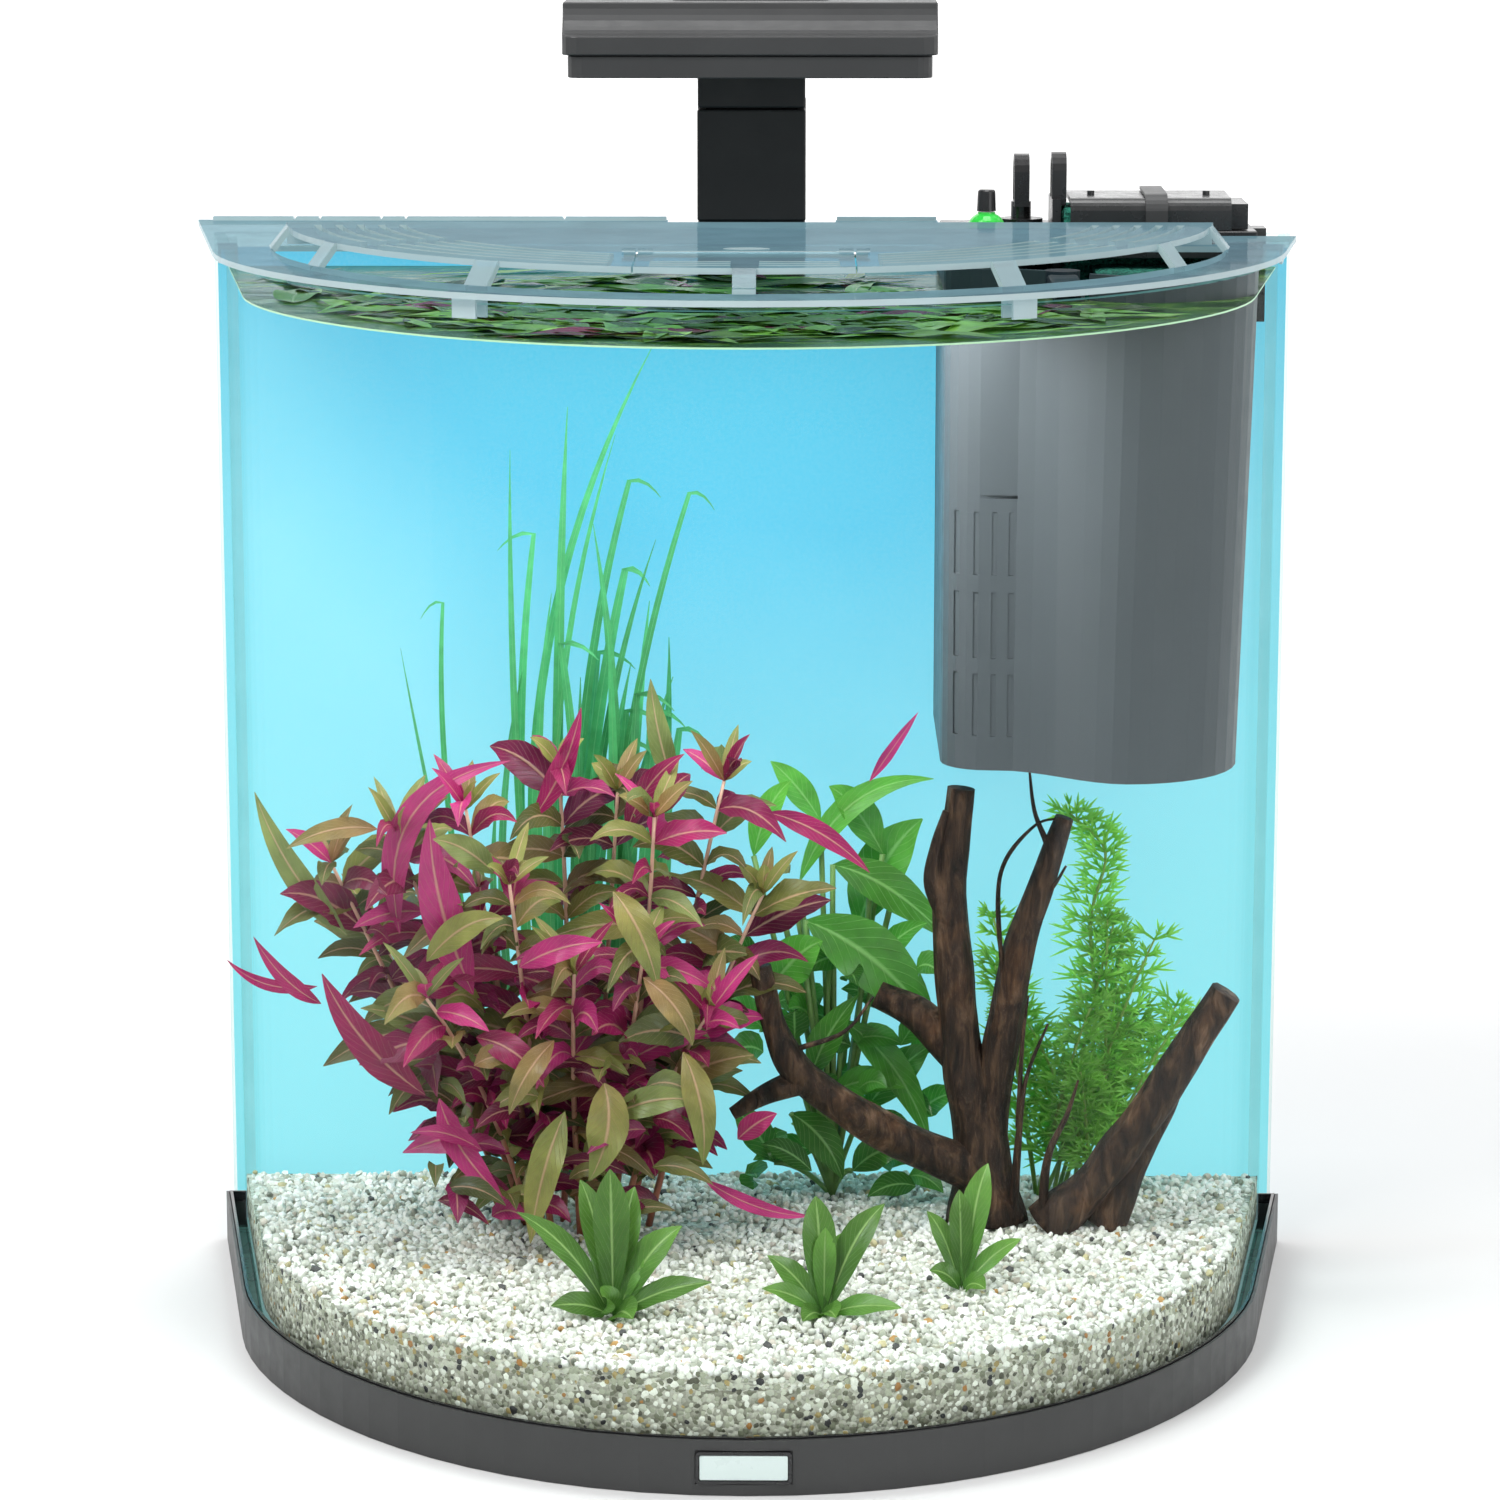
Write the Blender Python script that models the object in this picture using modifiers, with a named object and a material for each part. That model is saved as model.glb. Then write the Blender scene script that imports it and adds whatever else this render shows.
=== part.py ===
"""A crescent-shaped glass aquarium with a clear lid, a clip-on lamp and a hung inner filter.

Metres, +Z up. The tank's flat back faces +Y and its rounded front faces -Y. The origin is the middle of
the underside. Touching pieces keep a gap of 0.3 mm.
"""

import math

import bmesh
import bpy
from mathutils import Matrix, Vector

GAP = 0.0003

# The tank's outline in plan: a flat back, straight sides that close in towards the front, a bowed front.
HALF_BACK = 0.199
BACK_Y = 0.1415
SIDE_TAPER = 0.16
SIDE_END_Y = 0.020
SIDE_PULL = 0.068
FRONT_PULL = 0.106
ARC_STEPS = 18

# Heights
SKIRT_TOP = 0.0186
FLOOR_TOP = 0.0050
GLASS_TOP = 0.3815
LID_TOP = 0.3855
PLATFORM_TOP = 0.3930
JOINT_LINE = 0.4265
HEAD_BOTTOM = 0.4408
HEAD_TOP = 0.4665

# Walls and insets from the outline
SKIRT_WALL = 0.0024
LIP_WALL = 0.0010
PANE = 0.004
PANE_INSET = SKIRT_WALL + GAP
INNER = PANE_INSET + PANE + GAP
BACK_PANE_Y = BACK_Y - SKIRT_WALL - GAP - PANE
SEAM = 0.004
FILM = 0.0006

# Gravel
GRAVEL_FRONT = 0.0330
GRAVEL_BACK = 0.0285

# Lid
LID_SHEET = 0.0020
LID_OVERHANG = 0.0025
RIM_INSET = 0.018
PLATFORM_INSET = 0.024
LID_BACK_Y = 0.1435
PLATFORM_BACK_Y = 0.0480
CUTOUT_LEFT = 0.0675
CUTOUT_RIGHT = 0.1620
RIM_RIGHT_BACK_Y = 0.0800
LAMP_NOTCH = (0.0305, 0.1302)
SLOT_WIDTH = 0.0026
SLOT_PITCH = 0.0072
SLOT_FIRST = 0.010
SLOT_ROWS = 5
FLAP_HALF = 0.0348
FLAP_AXIS_Y = -0.0625
FLAP_AXIS_Z = PLATFORM_TOP - 0.0010

# Lamp
ARM_HALF = 0.0196
ARM_FRONT = 0.1310
ARM_BACK = 0.1500
TILT_Y = 0.1470
KNUCKLE = 0.0030
TONGUE_HALF = 0.0080
HEAD_HALF = 0.0655
HEAD_FRONT = 0.0700
TRAY_TOP = 0.4484
SCREW_Z = 0.3680

# Filter box
BOX_LEFT = 0.0670
BOX_BOTTOM = 0.2050
BOX_TOP = 0.3790
BOX_BACK = 0.1300
BOX_WALL = 0.0020
DECK_TOP = 0.3868
STEP_FRONT = 0.0835
HEATER = (0.0835, 0.0950)
COARSE = (0.0965, 0.1120)
PUMP = (0.0885, 0.0480)
RISER = (0.1080, 0.0480)
BIO_LEFT = 0.1065
BIO_RIGHT = 0.1695
FLANGE_RIGHT = 0.1755
BIO_FRONT = 0.0885
BIO_BACK = 0.1165
END_PLATE = 0.0030

parts = bpy.data.collections.new("aquarium_tank")
cutters = bpy.data.collections.new("cutters")


# ---------------------------------------------------------------- tools

def clear_scene():
    for obj in list(bpy.data.objects):
        bpy.data.objects.remove(obj)
    bpy.context.scene.collection.children.link(parts)
    bpy.context.scene.collection.children.link(cutters)


def finish(name, colour, roughness, metallic=0.0, clear=0.0):
    """A Principled material; clear is the share of light it lets through."""
    material = bpy.data.materials.new(name)
    material.use_nodes = True
    shader = material.node_tree.nodes["Principled BSDF"]
    shader.inputs["Base Color"].default_value = (*colour, 1)
    shader.inputs["Roughness"].default_value = roughness
    shader.inputs["Metallic"].default_value = metallic
    shader.inputs["Transmission Weight"].default_value = clear
    return material


CHARCOAL = finish("charcoal_plastic", (0.05, 0.052, 0.055), 0.45)
BLACK = finish("black_plastic", (0.012, 0.012, 0.013), 0.3)
GREY = finish("grey_plastic", (0.13, 0.15, 0.165), 0.35)
SMOKY = finish("smoky_clear_plastic", (0.55, 0.68, 0.72), 0.08, clear=0.9)
CLEAR = finish("clear_plastic", (0.85, 0.92, 0.92), 0.1, clear=0.95)
GLASS = finish("glass", (0.9, 0.97, 0.95), 0.02, clear=1.0)
SILICONE = finish("silicone", (0.75, 0.78, 0.78), 0.4, clear=0.5)
RUBBER = finish("rubber", (0.02, 0.02, 0.02), 0.8)
BLUE = finish("blue_film", (0.25, 0.68, 0.86), 0.5)
PALE = finish("pale_badge", (0.7, 0.78, 0.76), 0.35)
GRAVEL = finish("gravel", (0.55, 0.54, 0.47), 0.9)
WOOD = finish("driftwood", (0.06, 0.035, 0.025), 0.8)
LEAF = finish("green_leaf", (0.12, 0.3, 0.05), 0.5)
RED_LEAF = finish("red_leaf", (0.35, 0.05, 0.12), 0.5)
GREEN = finish("green_plastic", (0.05, 0.6, 0.08), 0.25)
FOAM = finish("green_foam", (0.01, 0.22, 0.14), 0.9)
STEEL = finish("steel", (0.6, 0.6, 0.62), 0.3, metallic=1.0)
CERAMIC = finish("ceramic", (0.85, 0.85, 0.82), 0.3)
BOARD = finish("led_board", (0.85, 0.85, 0.83), 0.5)


def place(obj, material):
    parts.objects.link(obj)
    if obj.type == "MESH":
        obj.data.shade_smooth()
        obj.data.set_sharp_from_angle(angle=math.radians(35))
    obj.data.materials.clear()
    obj.data.materials.append(material)
    return obj


def helper(obj):
    """A shape that cuts or joins another and isn't a piece of its own."""
    cutters.objects.link(obj)
    obj.hide_render = True
    obj.display_type = "WIRE"
    return obj


def mesh_of(curve_object):
    """The curve's solid as a mesh object of the same name and place, with its caps welded on."""
    scene = bpy.context.scene.collection
    scene.objects.link(curve_object)
    bpy.context.view_layer.update()
    graph = bpy.context.evaluated_depsgraph_get()
    mesh = bpy.data.meshes.new_from_object(curve_object.evaluated_get(graph))
    shape = bmesh.new()
    shape.from_mesh(mesh)
    bmesh.ops.remove_doubles(shape, verts=shape.verts, dist=1e-6)
    bmesh.ops.recalc_face_normals(shape, faces=shape.faces)
    shape.to_mesh(mesh)
    shape.free()
    name = curve_object.name
    world = curve_object.matrix_world.copy()
    curve_object.name = name + "_outline"
    solid = bpy.data.objects.new(name, mesh)
    solid.matrix_world = world
    bpy.data.objects.remove(curve_object)
    return solid


def outline(name, loops, thickness):
    """Flat loops as a 2D curve of the given thickness; a loop inside another is a hole."""
    curve = bpy.data.curves.new(name, "CURVE")
    curve.dimensions = "2D"
    curve.fill_mode = "BOTH"
    curve.extrude = thickness / 2
    for loop in loops:
        spline = curve.splines.new("POLY")
        spline.points.add(len(loop) - 1)
        for point, (x, y) in zip(spline.points, loop):
            point.co = (x, y, 0, 1)
        spline.use_cyclic_u = True
    return bpy.data.objects.new(name, curve)


def plate(name, loops, bottom, top):
    """Loops in plan, raised from bottom to top."""
    obj = outline(name, loops, top - bottom)
    obj.location.z = (bottom + top) / 2
    return mesh_of(obj)


def upright(name, loops, thickness, origin=(0, 0), heading=90):
    """Loops of (distance along the heading, z), thickened sideways about the origin."""
    obj = outline(name, loops, thickness)
    obj.location = (*origin, 0)
    obj.rotation_euler = (math.radians(90), 0, math.radians(heading))
    return mesh_of(obj)


def mesh_object(name, shape):
    mesh = bpy.data.meshes.new(name)
    bmesh.ops.recalc_face_normals(shape, faces=shape.faces)
    shape.to_mesh(mesh)
    shape.free()
    return bpy.data.objects.new(name, mesh)


def box(name, low, high):
    shape = bmesh.new()
    bmesh.ops.create_cube(shape, size=1)
    low = Vector(low)
    high = Vector(high)
    bmesh.ops.scale(shape, vec=high - low, verts=shape.verts)
    obj = mesh_object(name, shape)
    obj.location = (low + high) / 2
    return obj


def rod(name, start, end, radius, sides=24):
    """A round bar from start to end."""
    start = Vector(start)
    end = Vector(end)
    shape = bmesh.new()
    bmesh.ops.create_cone(shape, cap_ends=True, segments=sides, radius1=radius, radius2=radius,
                          depth=(end - start).length)
    obj = mesh_object(name, shape)
    obj.location = (start + end) / 2
    obj.rotation_euler = Vector((0, 0, 1)).rotation_difference(end - start).to_euler()
    return obj


def turned(name, profile, centre, steps=24):
    """A profile of (radius, z) from the top's axis, down the outer side, to the bottom's axis."""
    mesh = bpy.data.meshes.new(name)
    edges = [(i, i + 1) for i in range(len(profile) - 1)]
    mesh.from_pydata([(radius, 0, z) for radius, z in profile], edges, [])
    obj = bpy.data.objects.new(name, mesh)
    obj.location = (*centre, 0)
    screw = obj.modifiers.new("turn", "SCREW")
    screw.steps = steps
    screw.render_steps = steps
    screw.use_merge_vertices = True
    screw.merge_threshold = 0.00001
    return obj


def boolean(obj, operation, other):
    modifier = obj.modifiers.new(other.name, "BOOLEAN")
    modifier.operation = operation
    modifier.object = helper(other)
    return obj


def cut(obj, *others):
    for other in others:
        boolean(obj, "DIFFERENCE", other)
    return obj


def join(obj, *others):
    for other in others:
        boolean(obj, "UNION", other)
    return obj


def group_boolean(obj, operation, name, members):
    """One Boolean with many members, which may touch each other."""
    group = bpy.data.collections.new(name)
    cutters.children.link(group)
    for member in members:
        group.objects.link(member)
        member.hide_render = True
        member.display_type = "WIRE"
    modifier = obj.modifiers.new(name, "BOOLEAN")
    modifier.operation = operation
    modifier.operand_type = "COLLECTION"
    modifier.collection = group
    return obj


def bevel(obj, width, segments=2, angle=40):
    modifier = obj.modifiers.new("rounded_edges", "BEVEL")
    modifier.width = width
    modifier.segments = segments
    modifier.limit_method = "ANGLE"
    modifier.angle_limit = math.radians(angle)
    return obj


def ellipse(cx, cy, rx, ry, start, end, steps):
    """Points on an ellipse from one angle to another, in degrees."""
    points = []
    for i in range(steps + 1):
        angle = math.radians(start + (end - start) * i / steps)
        points.append((cx + rx * math.cos(angle), cy + ry * math.sin(angle)))
    return points


def rounded_rectangle(low, high, radius, steps=3):
    (x0, y0), (x1, y1) = low, high
    points = ellipse(x1 - radius, y1 - radius, radius, radius, 0, 90, steps)
    points += ellipse(x0 + radius, y1 - radius, radius, radius, 90, 180, steps)
    points += ellipse(x0 + radius, y0 + radius, radius, radius, 180, 270, steps)
    points += ellipse(x1 - radius, y0 + radius, radius, radius, 270, 360, steps)
    return points


# ---------------------------------------------------------------- the plan outline

def bow(t):
    """A point of the right half's front bow and its outward normal, t from 0 (side) to 1 (front middle)."""
    slope = math.hypot(SIDE_TAPER, 1)
    start = Vector((HALF_BACK - SIDE_TAPER * (BACK_Y - SIDE_END_Y), SIDE_END_Y))
    first = start + Vector((-SIDE_TAPER, -1)) * (SIDE_PULL / slope)
    second = Vector((FRONT_PULL, -BACK_Y))
    end = Vector((0, -BACK_Y))
    rest = 1 - t
    point = rest**3 * start + 3 * rest**2 * t * first + 3 * rest * t**2 * second + t**3 * end
    along = rest**2 * (first - start) + 2 * rest * t * (second - first) + t**2 * (end - second)
    along.normalize()
    return point, Vector((-along.y, along.x))


def side_x(y, inset):
    """Half the width at y, on the straight part of the side."""
    return HALF_BACK - SIDE_TAPER * (BACK_Y - y) - inset * math.hypot(SIDE_TAPER, 1)


def bow_at(t, inset):
    point, normal = bow(t)
    return point - normal * inset


def bow_points(inset, start=0.0, end=1.0, steps=ARC_STEPS):
    return [tuple(bow_at(start + (end - start) * i / steps, inset)) for i in range(steps + 1)]


def bow_where_x(x, inset):
    """The t at which the bow, moved in by inset, reaches x."""
    low, high = 0.0, 1.0
    for _ in range(30):
        middle = (low + high) / 2
        if bow_at(middle, inset).x > x:
            low = middle
        else:
            high = middle
    return low


def mirrored(points):
    return [(-x, y) for x, y in reversed(points)]


def plan(inset, right_back, left_back=None):
    """The tank's outline moved in by inset, from the right back corner round the front to the left."""
    if left_back is None:
        left_back = right_back
    half = bow_points(inset)
    right = (side_x(right_back, inset), right_back)
    left = (-side_x(left_back, inset), left_back)
    return [right] + half + mirrored(half)[1:] + [left]


def inset_loop(points, distance):
    """A closed loop moved in by distance, with mitred corners; the loop runs clockwise seen from above."""
    moved = []
    for i, point in enumerate(points):
        here = Vector(point)
        before = (here - Vector(points[i - 1])).normalized()
        after = (Vector(points[(i + 1) % len(points)]) - here).normalized()
        side_before = Vector((before.y, -before.x))
        side_after = Vector((after.y, -after.x))
        middle = (side_before + side_after).normalized()
        moved.append(tuple(here + middle * (distance / middle.dot(side_after))))
    return moved


# ---------------------------------------------------------------- tank

def gravel_height(y):
    return GRAVEL_FRONT + (GRAVEL_BACK - GRAVEL_FRONT) * (y + BACK_Y) / (2 * BACK_Y)


def make_skirt():
    skirt = plate("base_skirt", [plan(0, BACK_Y)], 0, SKIRT_TOP)
    pocket = plate("skirt_pocket", [plan(SKIRT_WALL, BACK_Y - SKIRT_WALL)], FLOOR_TOP, 0.030)
    rebate = plate("skirt_rebate", [plan(LIP_WALL, BACK_Y - LIP_WALL)], 0.0152, 0.030)
    cut(skirt, pocket, rebate)
    for side in (-1, 1):
        window = [(side * 0.025, 0.095), (side * 0.140, 0.095), (side * 0.125, -0.020), (side * 0.025, -0.075)]
        cut(skirt, plate("floor_window", [window], -0.01, 0.010))
    for x, y in FEET:
        cut(skirt, rod("foot_pocket", (x, y, -0.01), (x, y, 0.0033), 0.0093))
    cut(skirt, box("badge_pocket", (-0.0158, -0.150, 0.0037), (0.0158, -0.1400, 0.0151)))
    place(skirt, CHARCOAL)
    seal_loops = [plan(LIP_WALL + GAP, BACK_Y - LIP_WALL - GAP), plan(SKIRT_WALL, BACK_Y - SKIRT_WALL)]
    place(plate("base_seal", seal_loops, 0.0155, SKIRT_TOP + 0.0006), BLACK)


FEET = [(-0.165, 0.115), (0.165, 0.115), (-0.105, -0.085), (0.105, -0.085)]
FOOT_NAMES = ["foot_back_left", "foot_back_right", "foot_front_left", "foot_front_right"]


def make_feet():
    for name, (x, y) in zip(FOOT_NAMES, FEET):
        profile = [(0, 0.0030), (0.0082, 0.0030), (0.0090, 0.0022), (0.0090, 0.0006), (0.0084, 0), (0, 0)]
        place(turned(name, profile, (x, y)), RUBBER)


def make_badge():
    edge = rounded_rectangle((-0.0155, 0.0040), (0.0155, 0.0148), 0.0012)
    window = rounded_rectangle((-0.0145, 0.0050), (0.0145, 0.0138), 0.0006)
    face = rounded_rectangle((-0.0142, 0.0053), (0.0142, 0.0135), 0.0005)
    place(upright("badge_frame", [edge, window], 0.0015, (0, -0.14105), 0), BLACK)
    place(upright("badge_face", [face], 0.0012, (0, -0.1409), 0), PALE)


def make_glass():
    bottom = FLOOR_TOP + GAP
    outer = plan(PANE_INSET, BACK_PANE_Y - GAP)
    inner = plan(PANE_INSET + PANE, BACK_PANE_Y - GAP)
    place(plate("front_glass", [outer + inner[::-1]], bottom, GLASS_TOP), GLASS)
    half = side_x(BACK_PANE_Y, PANE_INSET)
    back = box("back_glass", (-half, BACK_PANE_Y, bottom), (half, BACK_PANE_Y + PANE, GLASS_TOP))
    place(bevel(back, 0.0005, 1), GLASS)
    place(plate("bottom_glass", [plan(INNER, BACK_PANE_Y - GAP)], bottom, bottom + 0.005), GLASS)


def make_seams():
    floor = FLOOR_TOP + 2 * GAP + 0.005
    edge = BACK_PANE_Y - GAP
    loops = [plan(INNER, edge), plan(INNER + 0.003, edge - 0.003)]
    place(plate("seam_floor", loops, floor, floor + 0.003), SILICONE)
    for name, side in (("seam_left", -1), ("seam_right", 1)):
        corner = side_x(edge, INNER)
        lower = side_x(edge - SEAM, INNER)
        loop = [(side * corner, edge), (side * (corner - SEAM), edge), (side * lower, edge - SEAM)]
        place(plate(name, [loop], floor + 0.0040, GLASS_TOP - 0.0015), SILICONE)


def make_backdrop():
    front = BACK_PANE_Y + PANE + GAP
    film = box("backdrop_film", (-0.1945, front, 0.0195), (0.1945, front + FILM, 0.3760))
    place(film, BLUE)


def make_gravel():
    top = 0.040
    gravel = plate("gravel_bed", [plan(INNER + GAP, 0.1300)], 0.0139, top)
    for vertex in gravel.data.vertices:
        if vertex.co.z > 0:
            vertex.co.z += gravel_height(vertex.co.y) - top
    place(gravel, GRAVEL)


# ---------------------------------------------------------------- wood and plants

def branch(name, points, radii):
    """A round branch through the points, with a radius at each."""
    curve = bpy.data.curves.new(name, "CURVE")
    curve.dimensions = "3D"
    curve.bevel_depth = 1.0
    curve.bevel_resolution = 2
    curve.use_fill_caps = True
    curve.resolution_u = 4
    spline = curve.splines.new("NURBS")
    spline.points.add(len(points) - 1)
    for point, place_at, radius in zip(spline.points, points, radii):
        point.co = (*place_at, 1)
        point.radius = radius
    spline.use_endpoint_u = True
    spline.order_u = 3
    return mesh_of(bpy.data.objects.new(name, curve))


def make_wood():
    trunk_line = [(0.086, 0.066, 0.020), (0.083, 0.066, 0.055), (0.078, 0.066, 0.085), (0.0735, 0.065, 0.112),
                  (0.0715, 0.064, 0.150), (0.078, 0.064, 0.190)]
    trunk = branch("driftwood_trunk", trunk_line, [0.013, 0.010, 0.009, 0.0085, 0.0075, 0.0045])
    fork_line = [(0.084, 0.066, 0.062), (0.090, 0.064, 0.090), (0.098, 0.062, 0.137), (0.112, 0.060, 0.178)]
    fork = branch("fork", fork_line, [0.0075, 0.0065, 0.0060, 0.0036])
    arm_line = [(0.083, 0.064, 0.050), (0.056, 0.055, 0.064), (0.018, 0.046, 0.087), (0.0055, 0.045, 0.128)]
    arm = branch("arm", arm_line, [0.0085, 0.0075, 0.0055, 0.0035])
    foot = gravel_height(0.045) + 0.0008
    join(trunk, fork, arm)
    place(cut(trunk, box("trunk_foot", (0.060, 0.04, 0), (0.110, 0.09, foot))), WOOD)
    log_line = [(0.104, 0.057, 0.022), (0.120, 0.056, 0.044), (0.137, 0.052, 0.068), (0.166, 0.046, 0.118)]
    log = branch("driftwood_log", log_line, [0.0125, 0.0115, 0.0085, 0.0055])
    place(cut(log, box("log_foot", (0.080, 0.03, 0), (0.150, 0.09, foot))), WOOD)


def clump(name, centre, size, top, material, belly=0.55):
    """A plain closed form that holds a plant: a narrow foot, a wide belly and a rounded crown."""
    base = gravel_height(centre[1]) + 0.0008
    rise = top - base
    shape = [(0, 1.0), (0.45, 0.97), (0.80, 0.85), (1.0, belly), (0.86, 0.30), (0.50, 0.10), (0.18, 0.0), (0, 0.0)]
    obj = turned(name, [(radius, base + rise * height) for radius, height in shape], centre, 16)
    obj.scale = (size[0], size[1], 1)
    return place(obj, material)


def make_plants():
    clump("plant_red", (-0.088, 0.040), (0.086, 0.042), 0.2050, RED_LEAF)
    clump("plant_grass", (-0.060, 0.104), (0.036, 0.012), 0.3440, LEAF)
    clump("plant_broadleaf", (0.030, 0.098), (0.038, 0.018), 0.1900, LEAF)
    clump("plant_fern", (0.122, 0.100), (0.036, 0.016), 0.1740, LEAF)
    clump("plant_front_left", (-0.045, -0.055), (0.028, 0.024), 0.0840, LEAF)
    clump("plant_front_middle", (0.026, -0.054), (0.026, 0.022), 0.0780, LEAF)
    clump("plant_front_right", (0.074, -0.022), (0.020, 0.020), 0.0780, LEAF)


# ---------------------------------------------------------------- lid

def lid_clip(name, point, normal):
    """A clear U-shaped rest that straddles the top edge of the glass."""
    out, low, wall = 0.0004, GLASS_TOP - 0.0045, 0.0010
    top = LID_TOP - LID_SHEET - GAP
    outer, inner = out + wall, -PANE - out - wall
    loop = [(outer, low), (outer, top), (inner, top), (inner, low), (inner + wall, low),
            (inner + wall, GLASS_TOP + GAP), (out, GLASS_TOP + GAP), (out, low)]
    heading = math.degrees(math.atan2(normal.y, normal.x))
    place(upright(name, [loop], 0.009, tuple(point), heading), CLEAR)


def make_clips():
    t = bow_where_x(0.087, PANE_INSET)
    point, normal = bow_at(t, PANE_INSET), bow(t)[1]
    side = Vector((side_x(0.070, PANE_INSET), 0.070))
    side_normal = Vector((1, -SIDE_TAPER)).normalized()
    for name, where, out in (("front", point, normal), ("side", side, side_normal)):
        lid_clip("lid_clip_" + name + "_right", where, out)
        lid_clip("lid_clip_" + name + "_left", Vector((-where.x, where.y)), Vector((-out.x, out.y)))


def strut_loop(rest=0.0):
    """The section of a strut, from the platform's edge down and out to the rim; rest lifts its foot."""
    low, under = LID_TOP - LID_SHEET, PLATFORM_TOP - LID_SHEET
    if rest:
        return [(-0.002, PLATFORM_TOP), (0.0005, PLATFORM_TOP), (0.0068, LID_TOP + rest + 0.0016),
                (0.0100, LID_TOP + rest + 0.0016), (0.0100, LID_TOP + rest), (0.0056, LID_TOP + rest),
                (-0.0004, under), (-0.002, under)]
    return [(-0.002, PLATFORM_TOP), (0.0005, PLATFORM_TOP), (0.0066, LID_TOP), (0.0085, LID_TOP),
            (0.0085, low), (0.0056, low), (-0.0004, under), (-0.002, under)]


def strut(name, point, normal, width, rest=0.0):
    heading = math.degrees(math.atan2(normal.y, normal.x))
    return upright(name, [strut_loop(rest)], width, tuple(point), heading)


def lid_struts():
    made = []
    for x in (0.0815, 0.137):
        t = bow_where_x(x, PLATFORM_INSET)
        point, normal = bow_at(t, PLATFORM_INSET), bow(t)[1]
        made.append(strut("strut", point, normal, 0.009))
        made.append(strut("strut", Vector((-point.x, point.y)), Vector((-normal.x, normal.y)), 0.009))
    side = Vector((side_x(0.034, PLATFORM_INSET), 0.034))
    out = Vector((1, -SIDE_TAPER)).normalized()
    made.append(strut("end_strut", side, out, 0.010))
    made.append(strut("end_strut", Vector((-side.x, side.y)), Vector((-out.x, out.y)), 0.010))
    return made


def band(inset, start, end, steps):
    """A curved slot that follows the bow, moved in by inset."""
    half = SLOT_WIDTH / 2
    return bow_points(inset - half, start, end, steps) + bow_points(inset + half, start, end, steps)[::-1]


def side_band(inset, back, join_t, steps):
    """A curved slot that starts on the straight side and runs into the bow."""
    half = SLOT_WIDTH / 2
    outer = [(side_x(back, inset - half), back)] + bow_points(inset - half, 0.0, join_t, steps)
    inner = [(side_x(back, inset + half), back)] + bow_points(inset + half, 0.0, join_t, steps)
    return outer + inner[::-1]


def lid_slots():
    made = []
    for row in range(SLOT_ROWS):
        inset = PLATFORM_INSET + SLOT_FIRST + row * SLOT_PITCH
        last = bow_where_x(0.043, inset)
        loops = [side_band(inset, 0.036, 0.30, 4), band(inset, 0.36, last, 5)]
        for loop in loops:
            for points in (loop, mirrored(loop)):
                made.append(plate("louvre", [points], PLATFORM_TOP - 0.004, PLATFORM_TOP + 0.002))
    return made


def make_lid():
    low = LID_TOP - LID_SHEET
    half, notch = LAMP_NOTCH
    edge = plan(-LID_OVERHANG, RIM_RIGHT_BACK_Y, LID_BACK_Y)
    edge += [(-half, LID_BACK_Y), (-half, notch), (half, notch), (half, LID_BACK_Y), (CUTOUT_LEFT, LID_BACK_Y),
             (CUTOUT_LEFT, PLATFORM_BACK_Y), (CUTOUT_RIGHT, PLATFORM_BACK_Y), (CUTOUT_RIGHT, RIM_RIGHT_BACK_Y)]
    lid = plate("lid_cover", [edge, plan(RIM_INSET, 0.040)], low, LID_TOP)
    platform = plate("platform", [plan(PLATFORM_INSET, PLATFORM_BACK_Y)], PLATFORM_TOP - LID_SHEET, PLATFORM_TOP)
    wall_half = side_x(PLATFORM_BACK_Y, PLATFORM_INSET) - 0.0004
    wall = box("platform_wall", (-wall_half, PLATFORM_BACK_Y - 0.0018, low + 0.0005),
               (wall_half, PLATFORM_BACK_Y - 0.0002, PLATFORM_TOP - 0.0005))
    rails = [box("rail", (-0.1960, 0.1395, LID_TOP - 0.0010), (-half - 0.0005, 0.1430, LID_TOP + 0.0013)),
             box("rail", (half + 0.0005, 0.1395, LID_TOP - 0.0010), (CUTOUT_LEFT - 0.0005, 0.1430, LID_TOP + 0.0013))]
    lugs = []
    for side in (-1, 1):
        start, end = sorted((side * 0.0357, side * 0.0400))
        lugs.append(rod("lid_lug", (start, FLAP_AXIS_Y, FLAP_AXIS_Z), (end, FLAP_AXIS_Y, FLAP_AXIS_Z), 0.0021, 16))
    group_boolean(lid, "UNION", "lid_joined", [platform, wall] + lid_struts() + rails)
    opening = box("flap_opening", (-FLAP_HALF - 0.0006, -0.150, PLATFORM_TOP - 0.0030),
                  (FLAP_HALF + 0.0006, FLAP_AXIS_Y + 0.0026, PLATFORM_TOP + 0.002))
    notches = []
    for x in (-0.1663, -0.1571, -0.1348, -0.1259, -0.0682):
        loop = [(x - 0.0016, LID_TOP + 0.003), (x, LID_TOP + 0.0002), (x + 0.0016, LID_TOP + 0.003)]
        notches.append(upright("rail_notch", [loop], 0.010, (0, 0.141), 0))
    dimple = turned("dimple", [(0, 0.4100), (1.0, 0.4100), (0.8, PLATFORM_TOP - 0.0008), (0, PLATFORM_TOP - 0.0010)],
                    (0, FLAP_AXIS_Y + 0.0110), 24)
    dimple.scale = (0.0095, 0.0055, 1)
    group_boolean(lid, "DIFFERENCE", "lid_cuts", [opening, dimple] + notches + lid_slots())
    group_boolean(lid, "UNION", "lid_lugs", lugs)
    cut(lid, rod("pin_bore", (-0.0394, FLAP_AXIS_Y, FLAP_AXIS_Z), (0.0394, FLAP_AXIS_Y, FLAP_AXIS_Z), 0.0012, 12))
    place(lid, SMOKY)


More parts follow.
